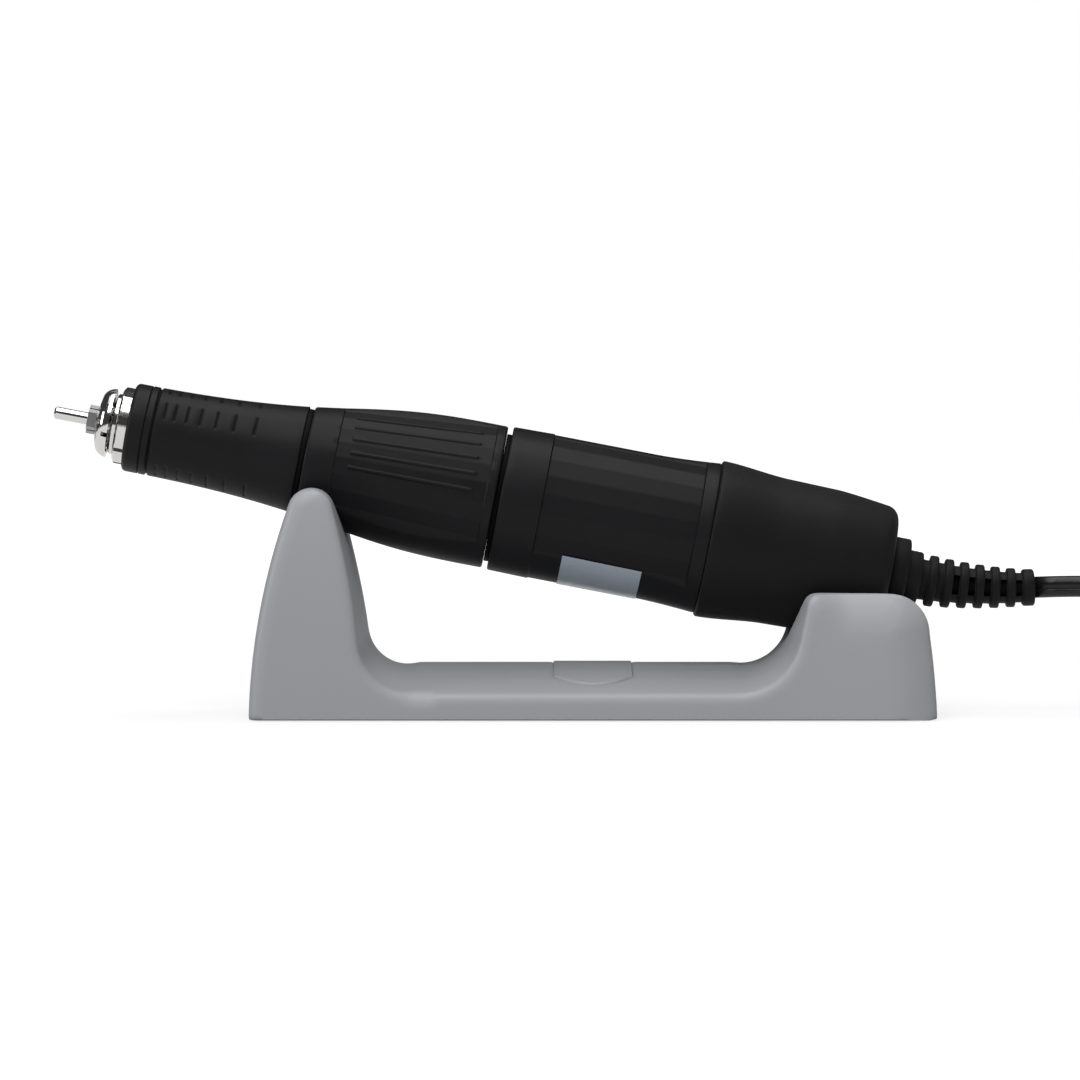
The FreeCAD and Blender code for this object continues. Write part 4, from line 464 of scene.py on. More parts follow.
def dress_nodes() -> None:
    """Give every CAD node its finish."""
    for finish, names in NODE_FINISHES.items():
        for name in names:
            dress(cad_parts[name], finish)
        log.info("%s: %s", finish.name, ", ".join(names))


# Meshes and pieces


def new_object(name: str, data: bpy.types.ID) -> bpy.types.Object:
    """Make an object and put it into the scene.

    Args:
        name: name of the object.
        data: its mesh, curve, camera or lamp.

    Returns:
        The object.
    """
    made = bpy.data.objects.new(name, data)
    bpy.context.scene.collection.objects.link(made)
    return made


def aim(thing: bpy.types.Object, place: Vector, target: Vector) -> None:
    """Stand a camera or a lamp at a place and turn it to a target.

    Args:
        thing: the camera or lamp.
        place: where it stands.
        target: the point that it looks at.
    """
    thing.location = place
    thing.rotation_mode = "QUATERNION"
    thing.rotation_quaternion = (target - place).to_track_quat("-Z", "Y")


@contextmanager
def reshaped(mesh: bpy.types.Mesh) -> Iterator[bmesh.types.BMesh]:
    """Open a mesh for changes and write them back.

    Args:
        mesh: the mesh.

    Yields:
        The open mesh.
    """
    shape = bmesh.new()
    shape.from_mesh(mesh)
    yield shape
    shape.to_mesh(mesh)
    shape.free()


def node_copy(name: str, gap: float) -> bpy.types.Mesh:
    """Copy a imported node's mesh and join its points that lie within a gap.

    Args:
        name: the node's name.
        gap: the gap, in millimetres.

    Returns:
        The merged copy.
    """
    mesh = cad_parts[name].data.copy()
    with reshaped(mesh) as shape:
        bmesh.ops.remove_doubles(shape, verts=shape.verts, dist=gap * MM)
    return mesh


def evaluated(
    data: bpy.types.ID, kind: str = "", values: dict | None = None, **settings: object
) -> bpy.types.Mesh:
    """The plain mesh of some data, with a modifier applied.

    Args:
        data: a mesh or a curve.
        kind: kind of the modifier, or nothing for none.
        values: inputs of the modifier's node group, by name.
        settings: properties of the modifier.

    Returns:
        The new mesh.
    """
    holder = new_object("holder", data)
    if kind:
        modifier = holder.modifiers.new("step", kind)
        for name, setting in settings.items():
            setattr(modifier, name, setting)
        for socket in modifier.node_group.interface.items_tree if values else ():
            if socket.in_out == "INPUT" and socket.name in values:
                modifier[socket.identifier] = values[socket.name]
    bpy.context.view_layer.update()
    graph = bpy.context.evaluated_depsgraph_get()
    mesh = bpy.data.meshes.new_from_object(holder.evaluated_get(graph))
    bpy.data.objects.remove(holder)
    return mesh


class Shape:
    """Vertices and faces of a mesh, gathered part by part."""

    def __init__(self) -> None:
        """Start empty."""
        self.verts: list[Vector] = []
        self.faces: list[tuple[int, ...]] = []

    def rings(
        self, rings: list[list[Vector]], closed: bool = False, capped: bool = False
    ) -> None:
        """Add rings of points, each joined to the next one.

        Args:
            rings: equally many points in each.
            closed: whether the last ring is joined to the first one.
            capped: whether the first and the last ring get a face.
        """
        start, count, total = len(self.verts), len(rings[0]), len(rings)
        for ring in rings:
            self.verts += ring
        for row in range(total if closed else total - 1):
            first, second = start + row * count, start + (row + 1) % total * count
            for side in range(count):
                after = (side + 1) % count
                self.faces.append((first + side, first + after, second + after, second + side))
        if capped:
            for first in (start, start + (total - 1) * count):
                self.faces.append(tuple(range(first, first + count)))

    def sheet(self, top: list[list[Vector]], low: list[list[Vector]]) -> None:
        """Add a sheet between two grids of points, closed all round.

        Args:
            top: rows of points on the outer side.
            low: rows of points on the inner side, as many.
        """
        start, width = len(self.verts), len(top[0])
        self.rings([upper + lower[::-1] for upper, lower in zip(top, low)])
        for first in (start, start + (len(top) - 1) * 2 * width):
            last = first + 2 * width - 1
            self.faces += [
                (first + side, first + side + 1, last - side - 1, last - side)
                for side in range(width - 1)
            ]

    def add(self, mesh: bpy.types.Mesh) -> None:
        """Add a whole mesh.

        Args:
            mesh: the mesh, which stays as it is.
        """
        start = len(self.verts)
        self.verts += [vert.co.copy() for vert in mesh.vertices]
        self.faces += [tuple(start + vert for vert in face.vertices) for face in mesh.polygons]

    def mesh(self, place: Matrix) -> bpy.types.Mesh:
        """The mesh, moved to its place.

        Args:
            place: transform to the place.

        Returns:
            The mesh.
        """
        mesh = bpy.data.meshes.new("shape")
        mesh.from_pydata(self.verts, [], self.faces)
        mesh.transform(place)
        return mesh


@dataclass(frozen=True)
class Piece:
    """A visible piece: its looks, the body that it rides on and the nodes that it replaces."""

    name: str
    finish: Finish
    slot: str
    body: Body | None = None
    nodes: tuple[str, ...] = ()
    sharp: float = 34.0

    def make(self, mesh: bpy.types.Mesh) -> bpy.types.Object:
        """Make the piece.

        Args:
            mesh: a closed mesh in the shared frame. Its faces are turned outwards and shaded
                smooth, but for its sharp edges and its end caps.

        Returns:
            The piece.
        """
        with reshaped(mesh) as shape:
            bmesh.ops.recalc_face_normals(shape, faces=shape.faces)
            for face in shape.faces:
                face.smooth = len(face.verts) <= 4
        mesh.set_sharp_from_angle(angle=math.radians(self.sharp))
        mesh.name = self.name
        piece = new_object(self.name, mesh)
        dress(piece, self.finish)
        if self.nodes:
            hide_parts(*self.nodes)
        if self.body:
            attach(piece, self.body.value)
        return piece


def turned(reach: float, angle: float, station: float) -> Vector:
    """A point at a distance from an axis, an angle in degrees and a station along the axis."""
    turn = math.radians(angle)
    return Vector((reach * math.cos(turn), reach * math.sin(turn), station))


def smooth_step(share: float) -> float:
    """Ease from 0 to 1."""
    share = min(max(share, 0.0), 1.0)
    return share * share * (3 - 2 * share)


def between(first: float, second: float, share: float) -> float:
    """The value at a share of the way from one value to another."""
    return first + (second - first) * share


def edge_drop(distance: float, radius: float) -> float:
    """How far a rounded edge lies below its corner, at a distance from the end face."""
    if distance >= radius:
        return 0.0
    return radius - math.sqrt(radius**2 - (radius - max(distance, 0.0)) ** 2)


def edge_marks(end: float, radius: float, steps: int = 5) -> list[float]:
    """Stations along a rounded edge that starts at an end face; a negative radius runs back."""
    return [
        end + radius * (1 - math.cos(math.pi / 2 * step / steps)) for step in range(steps + 1)
    ]


def spread(start: float, end: float, step: float) -> list[float]:
    """Even marks from one value to another."""
    count = max(int(round((end - start) / step)), 1)
    return [between(start, end, index / count) for index in range(count + 1)]


def around(step: float) -> list[float]:
    """Angles all round, in even steps."""
    return spread(0.0, 360.0 - step, step)


def both_ends(start: float, end: float, unit: float, depths: tuple[float, ...]) -> list[float]:
    """Marks at the same depths, counted in a unit, inside both ends of a stretch."""
    return [mark for depth in depths for mark in (start + unit * depth, end - unit * depth)]


def thinned(marks: list[float], least: float) -> list[float]:
    """Sorted marks without those that nearly repeat one before them.

    Args:
        marks: marks in any order.
        least: the least step between two marks.

    Returns:
        The marks that stay, in order.
    """
    kept: list[float] = []
    for mark in sorted(marks):
        if not kept or mark - kept[-1] > least:
            kept.append(mark)
    return kept


# Camera and cord


@dataclass(frozen=True)
class Viewpoint:
    """Camera at the viewing angle: level with the cradle and a little above it."""

    target: tuple[float, float, float] = (-10.1, 0.0, 33.31)
    distance: float = 1.0
    elevation: float = 2.0
    pixels_per_radian: float = 5200.0
    frame_pixels: float = 1080.0
    sensor: float = 36.0
    clip: tuple[float, float] = (0.05, 20.0)

    def build(self) -> None:
        """Make the camera and use it for the scene."""
        data = bpy.data.cameras.new("camera")
        data.sensor_width = self.sensor
        data.lens = self.pixels_per_radian / self.frame_pixels * self.sensor
        data.clip_start, data.clip_end = self.clip
        lift = math.radians(self.elevation)
        back = Vector((0.0, -math.cos(lift), math.sin(lift))) * self.distance
        target = Vector(self.target) * MM
        camera = new_object("camera", data)
        aim(camera, target + back, target)
        bpy.context.scene.camera = camera


@dataclass(frozen=True)
class Cord:
    """Twin-core cord from the strain relief to the plug, its spare length wound in a coil.

    The sheath's groove has its place as a share of the half width, from -1 below to 1 above.
    """

    width: float = 4.1
    waist: float = 3.3
    outline_points: int = 40
    groove_depth: float = 0.45
    groove_place: float = -0.16
    groove_width: float = 0.1
    groove_lift: float = 0.2
    free: tuple = (
        (84.923, 0.0, 24.215),
        (95.914, 0.0, 24.645),
        (108.0, -5.2, 23.7),
        (119.0, -16.4, 19.9),
        (132.0, -22.078, 16.75),
    )
    held: float = 2.0
    middle: tuple[float, float] = (148.0, 6.0)
    coil_start: float = 118.0
    lift: float = 0.6
    coil_radius: float = 22.5
    step: float = 5.25
    layer: float = 4.7
    layers: int = 4
    layer_turns: float = 2.125
    crossing_turns: float = 0.5
    points_per_turn: int = 24
    lead: tuple = (
        (162.66, -22.078, 2.65),
        (173.22, -19.078, 6.0),
        (184.1, -19.078, 6.0),
    )
    resolution: int = 5
    least_step: float = 0.02

    def coil_point(self, turns: float) -> Vector:
        """A control point of the coil: layers spiral in and out from the top down.

        Args:
            turns: turns from the start of the coil.

        Returns:
            The point, in millimetres.
        """
        layer, left = 0, turns
        while layer < self.layers - 1 and left > self.layer_turns + self.crossing_turns:
            left -= self.layer_turns + self.crossing_turns
            layer += 1
        widest = self.coil_radius + self.step * self.layer_turns / 2
        narrowest = widest - self.step * self.layer_turns
        spiral = self.step * min(left, self.layer_turns)
        radius = narrowest + spiral if layer % 2 else widest - spiral
        radius /= math.cos(math.pi / self.points_per_turn) ** 2
        fallen = layer + smooth_step((left - self.layer_turns) / self.crossing_turns)
        level = self.lift + self.width / 2 + (self.layers - 1 - fallen) * self.layer
        return Vector((*self.middle, 0.0)) + turned(radius, 360.0 * turns - 90.0, level)

    def route(self) -> list[Vector]:
        """Control points of the whole cord, in millimetres.

        Returns:
            The points from the relief to the plug.
        """
        turns = self.layers * self.layer_turns + (self.layers - 1) * self.crossing_turns
        count = round(turns * self.points_per_turn)
        coil = [self.coil_point(turns * step / count) for step in range(count + 1)]
        return [Vector(place) for place in (*self.free, *coil, *self.lead)]

    def centre_line(self) -> list[Vector]:
        """Points along the cord's smooth line, in metres.

        Returns:
            The points from the relief to the plug.
        """
        curve = bpy.data.curves.new("cord_line", "CURVE")
        curve.dimensions = "3D"
        curve.resolution_u = self.resolution
        spline = curve.splines.new("NURBS")
        route = self.route()
        spline.points.add(len(route) - 1)
        for point, place in zip(spline.points, route):
            point.co = (*(place * MM), 1.0)
        spline.order_u = 3
        spline.use_endpoint_u = True
        kept: list[Vector] = []
        for vertex in evaluated(curve).vertices:
            if not kept or (vertex.co - kept[-1]).length > self.least_step * MM:
                kept.append(vertex.co.copy())
        return kept

    def profile(self) -> list[tuple[float, float]]:
        """Outline of the sheath: two round cores with a shallow groove between them.

        Returns:
            Points across and up, in metres.
        """
        outline, core = [], self.waist / 2
        offset = self.width / 2 - core
        for step in range(self.outline_points):
            angle = 2 * math.pi * step / self.outline_points
            across, up = math.cos(angle), math.sin(angle)
            reach = offset * abs(up) + math.sqrt(core**2 - (offset * across) ** 2)
            away = (up - self.groove_place) / self.groove_width
            groove = self.groove_depth * math.exp(-(away**2))
            height = reach - groove * self.groove_lift
            outline.append(((reach - groove) * across * MM, height * up * MM))
        return outline

    def build(self) -> None:
        line, outline, rings = self.centre_line(), self.profile(), []
        for before, point, after in zip([line[0], *line], line, [*line[1:], line[-1]]):
            way = (after - before).normalized()
            side = way.cross(Vector((0.0, 0.0, 1.0))).normalized()
            up = side.cross(way).normalized()
            rings.append([point + side * x + up * z for x, z in outline])
        shape = Shape()
        shape.rings(rings, capped=True)
        cord = Piece(
            "power_cord", Finishes.sheath_black, "cord_black",
            nodes=("cord", "cord_coil", "plug_lead"), sharp=180.0,
        ).make(shape.mesh(Matrix.Identity(4)))
        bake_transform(cord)


# Pieces turned round the spindle


class TurnedForm:
    """A closed skin round the spindle: an outer surface by station and angle, and a bore.

    Stations count millimetres from the pin's tip along the spindle. Angles count degrees
    from the upper side towards the near side.
    """

    piece: Piece
    bore: tuple
    least_turn: ClassVar[float] = 0.12
    least_length: ClassVar[float] = 0.004

    def radius(self, station: float, angle: float) -> float:
        """Radius of the outer surface."""
        raise NotImplementedError

    def stations(self) -> list[float]:
        """Stations of the surface's lines."""
        raise NotImplementedError

    def angles(self) -> list[float]:
        """Angles of the surface's lines."""
        return around(4.0)

    def build(self) -> None:
        """Make the skin and let it stand for its node."""
        angles = thinned([angle % 360 for angle in self.angles()], self.least_turn)
        rows = [
            [turned(self.radius(station, angle), angle, station) for angle in angles]
            for station in thinned(self.stations(), self.least_length)
        ]
        rows += [[turned(reach, angle, station) for angle in angles]
                 for station, reach in self.bore]
        shape = Shape()
        shape.rings(rows, closed=True)
        self.piece.make(shape.mesh(SPINDLE.matrix()))


@dataclass(frozen=True)
class GripPanels:
    """Two flat-sided panels on opposite sides of a turned piece."""

    middle: float = 70.5
    facets: int = 7
    facet: float = 16.0
    softness: float = 0.9985
    slope: float = 0.42
    line_half: float = 0.85
    beyond: tuple = (1.6, 3.0, 5.0, 7.0, 9.0, 11.0, 13.5)

    @property
    def half(self) -> float:
        """Half the angle that a panel takes up."""
        return self.facets * self.facet / 2

    def radius(self, angle: float, corner: float, full: float) -> float:
        """Radius of the facets, or of the slope that rises beside them.

        Args:
            angle: angle round the spindle.
            corner: radius of the lines between the facets.
            full: radius of the piece outside its panels.

        Returns:
            The smaller of the panel's radius and the full one.
        """
        away = (angle - self.middle + 90) % 180 - 90
        soft = corner * self.softness
        if abs(away) <= self.half:
            index = min(int((away + self.half) // self.facet), self.facets - 1)
            centre = (index + 0.5) * self.facet - self.half
            flat = corner * math.cos(math.radians(self.facet / 2))
            return min(flat / math.cos(math.radians(away - centre)), soft)
        rise = math.radians(abs(away) - self.half) * corner
        return min(full, soft + self.slope * rise)

    def marks(self) -> list[float]:
        """Angles that the surface's lines follow.

        Returns:
            The angles, in degrees.
        """
        lines = [index * self.facet - self.half for index in range(self.facets + 1)]
        turns = [line + away for line in lines for away in (-self.line_half, 0, self.line_half)]
        turns += both_ends(-self.half, self.half, -1.0, self.beyond)
        return [self.middle + side + turn for turn in turns for side in (0, 180)]


PANELS = GripPanels()


@dataclass(frozen=True)
class SleeveForm(TurnedForm):
    """Front grip sleeve: a slender flare with ring grooves and rows of short grooves."""

    piece: Piece = Piece(
        "sleeve_skin", Finishes.grip_black, "black_metal", Body.HANDPIECE, ("grip_sleeve",)
    )
    front: float = 14.6
    end: float = 48.1
    front_radius: float = 8.54
    rear_radius: float = 10.35
    power: float = 2.4
    edge: float = 0.9
    rear_edge: float = 0.25
    bore: tuple = ((48.1, 7.6), (14.6, 7.6))
    rings: tuple = ((3.275, 0.35, 0.22), (4.9, 0.8, 0.4))
    first: float = 6.8
    pitch: float = 2.0
    growth: float = 1.15
    count: int = 7
    width: float = 0.7
    depth: float = 0.2
    groove_shares: tuple = (-1.0, -0.6, -0.3, 0.0, 0.3, 0.6, 1.0)
    rows: tuple = (13.0, 58.0, 148.0, 193.0, 238.0, 328.0)
    row_half: float = 14.0
    row_ease: float = 3.0
    row_shares: tuple = (0.0, 0.35, 0.7, 1.0)
    length_step: float = 1.4
    turn_step: float = 5.0

    def short_grooves(self) -> list[float]:
        """Stations of the short grooves.

        Returns:
            The stations from front to rear.
        """
        marks, pitch = [self.front + self.first], self.pitch
        for _ in range(self.count - 1):
            marks.append(marks[-1] + pitch)
            pitch *= self.growth
        return marks

    @staticmethod
    def dip(distance: float, width: float) -> float:
        """Share of a groove's depth at a distance from its middle."""
        return 1 - smooth_step(abs(distance) / (width / 2))

    def radius(self, station: float, angle: float) -> float:
        """Radius of the sleeve's surface.

        Args:
            station: millimetres from the pin's tip along the spindle.
            angle: degrees from the upper side towards the near side.

        Returns:
            The radius.
        """
        share = (station - self.front) / (self.end - self.front)
        reach = between(self.front_radius, self.rear_radius, share**self.power)
        reach -= edge_drop(station - self.front, self.edge)
        reach -= edge_drop(self.end - station, self.rear_edge)
        for place, width, depth in self.rings:
            reach -= depth * self.dip(station - self.front - place, width)
        away = min(abs((angle - row + 180) % 360 - 180) for row in self.rows)
        in_row = smooth_step((self.row_half - away) / self.row_ease)
        for mark in self.short_grooves():
            reach -= self.depth * in_row * self.dip(station - mark, self.width)
        return reach

    def stations(self) -> list[float]:
        """Stations along the flare and across each groove.

        Returns:
            The stations, in any order.
        """
        grooves = [(self.front + place, width) for place, width, _ in self.rings]
        grooves += [(mark, self.width) for mark in self.short_grooves()]
        return [
            *edge_marks(self.front, self.edge), *edge_marks(self.end, -self.rear_edge, 3),
            *spread(self.front + self.edge, self.end - self.rear_edge, self.length_step),
            *(middle + width / 2 * share for middle, width in grooves
              for share in self.groove_shares),
        ]

    def angles(self) -> list[float]:
        """Angles all round, and at the ends of each row.

        Returns:
            The angles, in any order.
        """
        ends = [(middle - self.row_half, middle + self.row_half) for middle in self.rows]
        return around(self.turn_step) + [
            mark for start, end in ends
            for mark in both_ends(start, end, self.row_ease, self.row_shares)
        ]


@dataclass(frozen=True)
class RingForm(TurnedForm):
    """Twist ring: bulging lobes between two ribbed, flat-sided panels."""

    piece: Piece = Piece(
        "ring_skin", Finishes.grip_black, "black_metal", Body.RING, ("twist_ring",)
    )
    front: float = 49.1
    grip: float = 54.8
    grip_end: float = 84.5
    end: float = 86.2
    front_radius: float = 10.5
    collar: float = 11.35
    rim: float = 13.8
    bulge: float = 0.8
    drop: float = 0.16
    edge: float = 0.45
    border: float = 0.22
    ribs: tuple = (29.5, 43.75, 58.0, 72.25, 86.5)
    rib_radius: float = 0.45
    rib_height: float = 0.3
    rib_inset: float = 2.6
    rib_turns: tuple = (0.0, 0.5, 1.0, 1.4, 1.75, 2.05, 2.4)
    rib_shares: tuple = (0.06, 0.12, 0.25, 0.45, 0.7, 1.0)
    border_shares: tuple = (0.0, 0.25, 0.5, 0.75, 1.0, 1.6)
    bore: tuple = ((86.2, 9.6), (56.1, 9.6), (56.1, 7.7), (49.1, 7.7))
    collar_step: float = 1.2
    grip_inset: float = 0.6
    grip_step: float = 1.1

    @property
    def rib_ends(self) -> tuple[float, float]:
        """Stations of the ribs' ends."""
        return self.grip + self.rib_inset, self.grip_end - self.rib_inset

    def radius(self, station: float, angle: float) -> float:
        """Radius of the ring's surface.

        Args:
            station: millimetres from the pin's tip along the spindle.
            angle: degrees from the upper side towards the near side.

        Returns:
            The radius.
        """
        if station <= self.grip:
            share = (station - self.front) / (self.grip - self.front)
            reach = between(self.front_radius, self.collar, share)
            return reach - edge_drop(station - self.front, self.edge)
        if station >= self.grip_end:
            return self.rim - edge_drop(self.end - station, self.edge)
        share = (station - self.grip) / (self.grip_end - self.grip)
        line = between(self.collar, self.rim, share)
        lobe = line + self.bulge * math.sin(math.pi * share)
        panel = PANELS.radius(angle, line - self.drop, lobe) + self.rib(station, angle, line)
        inside = smooth_step((station - self.grip) / self.border)
        inside *= smooth_step((self.grip_end - station) / self.border)
        return between(lobe, panel, inside)

    def rib(self, station: float, angle: float, line: float) -> float:
        """Height of the nearest rib above the panel.

        Args:
            station: millimetres from the pin's tip along the spindle.
            angle: degrees from the upper side towards the near side.
            line: radius that the angle is measured at.

        Returns:
            The height, or 0 beside the ribs.
        """
        start, end = self.rib_ends
        beyond = max(start + self.rib_radius - station, station - end + self.rib_radius, 0.0)
        across = min(abs((angle - rib + 90) % 180 - 90) for rib in self.ribs)
        away = math.hypot(math.radians(across) * line, beyond)
        if away >= self.rib_radius:
            return 0.0
        top = math.sqrt(self.rib_radius**2 - away**2)
        return max(top - self.rib_radius + self.rib_height, 0.0)

    def stations(self) -> list[float]:
        """Stations along the collar and the grip, close at the ends of panels and ribs.

        Returns:
            The stations, in any order.
        """
        grip, end, inset = self.grip, self.grip_end, self.grip_inset
        return [
            *edge_marks(self.front, self.edge), *edge_marks(self.end, -self.edge),
            *spread(self.front + self.edge, grip, self.collar_step),
            *both_ends(grip, end, self.border, self.border_shares),
            *both_ends(*self.rib_ends, self.rib_radius, self.rib_shares),
            *spread(grip + inset, end - inset, self.grip_step),
        ]

    def angles(self) -> list[float]:
        """Angles all round, at the panels' lines and across each rib."""
        return around(4.0) + PANELS.marks() + [
            rib + turn for rib in self.ribs for away in self.rib_turns
            for turn in (-away, away, 180 - away, 180 + away)
        ]


@dataclass(frozen=True)
class CaseForm(TurnedForm):
    """Motor case: a plain collar, two flat-sided panels and a rear flare."""

    piece: Piece = Piece(
        "case_skin", Finishes.case_black, "black_metal", Body.HANDPIECE, ("motor_case",)
    )
    front: float = 87.2
    collar_end: float = 95.1
    panel_end: float = 125.1
    flare: float = 115.65
    flare_power: float = 1.6
    end: float = 127.85
    front_radius: float = 13.95
    collar_radius: float = 14.1
    radius_between: float = 13.94
    rear_radius: float = 14.62
    drop: float = 0.17
    edge: float = 0.4
    border: float = 0.25
    bore: tuple = ((127.85, 12.4), (95.5, 12.4), (95.5, 11.6), (87.2, 11.6))
    steps: tuple[float, float, float] = (1.5, 1.6, 0.7)
    panel_inset: float = 0.4
    border_shares: tuple = (0.0, 0.25, 0.5, 0.75, 1.0, 1.5)

    def radius(self, station: float, angle: float) -> float:
        """Radius of the case's surface.

        Args:
            station: millimetres from the pin's tip along the spindle.
            angle: degrees from the upper side towards the near side.

        Returns:
            The radius.
        """
        if station < self.collar_end:
            share = (station - self.front) / (self.collar_end - self.front)
            reach = between(self.front_radius, self.collar_radius, share)
            return reach - edge_drop(station - self.front, self.edge)
        share = max((station - self.flare) / (self.end - self.flare), 0.0)
        full = between(self.radius_between, self.rear_radius, share**self.flare_power)
        full -= edge_drop(self.end - station, self.edge)
        ease = smooth_step((station - self.collar_end) / self.border)
        outside = between(self.collar_radius, full, ease)
        panel = PANELS.radius(angle, self.radius_between - self.drop, full)
        inside = ease * smooth_step((self.panel_end - station) / self.border)
        return between(outside, min(panel, outside), inside)

    def stations(self) -> list[float]:
        """Stations along the collar, the panels and the flare, close at the panels' ends.

        Returns:
            The stations, in any order.
        """
        collar, panel, flare = self.steps
        start, end, edge = self.collar_end, self.panel_end, self.edge
        return [
            *edge_marks(self.front, edge), *edge_marks(self.end, -edge),
            *spread(self.front + edge, start, collar),
            *spread(start + self.panel_inset, end - self.panel_inset, panel),
            *spread(end, self.end - edge, flare),
            *both_ends(start, end, self.border, self.border_shares),
        ]

    def angles(self) -> list[float]:
        """Angles all round and at the panels' lines."""
        return around(4.0) + PANELS.marks()


@dataclass(frozen=True)
class ShoulderForm(TurnedForm):
    """Shoulder in the slit before or behind the twist ring, fixed to the handpiece, in near-black
    as painted shade of the slit.
    """

    name: str
    start: float
    end: float
    reach: float
    hole: float
    edge: float = 0.12

    @property
    def piece(self) -> Piece:
        """The shoulder's piece, which replaces no node."""
        return Piece(self.name, Finishes.painted_shade_black, "black_metal", Body.HANDPIECE)

    @property
    def bore(self) -> tuple:
        """The shoulder's hole."""
        return (self.end, self.hole), (self.start, self.hole)

    def radius(self, station: float, angle: float) -> float:
        """Radius of the shoulder, the same all round."""
        return self.reach - edge_drop(min(station - self.start, self.end - station), self.edge)

    def stations(self) -> list[float]:
        """Stations of the two rounded edges."""
        return edge_marks(self.start, self.edge, 2) + edge_marks(self.end, -self.edge, 2)


@dataclass(frozen=True)
class BootForm(TurnedForm):
    """Rear boot: a lip over the case, a soft waist and a rounded taper."""

    piece: Piece = Piece(
        "boot_skin", Finishes.boot_rubber, "black_rubber", Body.HANDPIECE, ("rear_boot",)
    )
    front: float = 127.85
    lip_end: float = 142.15
    taper: float = 151.0
    taper_power: float = 1.2
    end: float = 163.1
    lip: float = 15.2
    waist: float = 14.1
    shoulder: float = 13.88
    end_radius: float = 12.43
    edge: float = 0.55
    end_edge: float = 2.2
    end_steps: int = 9
    bore: tuple = (
        (163.1, 5.66), (160.9, 5.66), (160.9, 11.0), (151.6, 11.0), (151.6, 12.46),
        (127.85, 12.46),
    )
    length_step: float = 0.9
    turn_step: float = 3.0

    def radius(self, station: float, angle: float) -> float:
        """Radius of the boot's surface, the same all round.

        Args:
            station: millimetres from the pin's tip along the spindle.
            angle: degrees from the upper side towards the near side.

        Returns:
            The radius.
        """
        if station <= self.lip_end:
            share = (station - self.front) / (self.lip_end - self.front)
            reach = between(self.lip, self.waist, smooth_step(share))
        elif station <= self.taper:
            share = (station - self.lip_end) / (self.taper - self.lip_end)
            reach = between(self.waist, self.shoulder, share)
        else:
            share = (station - self.taper) / (self.end - self.taper)
            reach = between(self.shoulder, self.end_radius, share**self.taper_power)
        reach -= edge_drop(station - self.front, self.edge)
        return reach - edge_drop(self.end - station, self.end_edge)

    def stations(self) -> list[float]:
        """Stations along the boot and its two rounded edges.

        Returns:
            The stations, in any order.
        """
        return [
            *edge_marks(self.front, self.edge),
            *edge_marks(self.end, -self.end_edge, self.end_steps),
            *spread(self.front + self.edge, self.end - self.end_edge, self.length_step),
        ]

    def angles(self) -> list[float]:
        """Angles all round."""
        return around(self.turn_step)


@dataclass(frozen=True)
class SpringForm:
    """Spring that pulls the collet shut."""

    piece: Piece = Piece(
        "collet_spring", Finishes.machined_steel, "steel", Body.SPINDLE, ("draw_spring",), 50.0
    )
    gap: float = 0.0005
    station: float = 41.0
    travel: float = 1.42

    def build(self) -> None:
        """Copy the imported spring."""
        spring = self.piece.make(node_copy("draw_spring", self.gap))
        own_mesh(spring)


# Strain relief


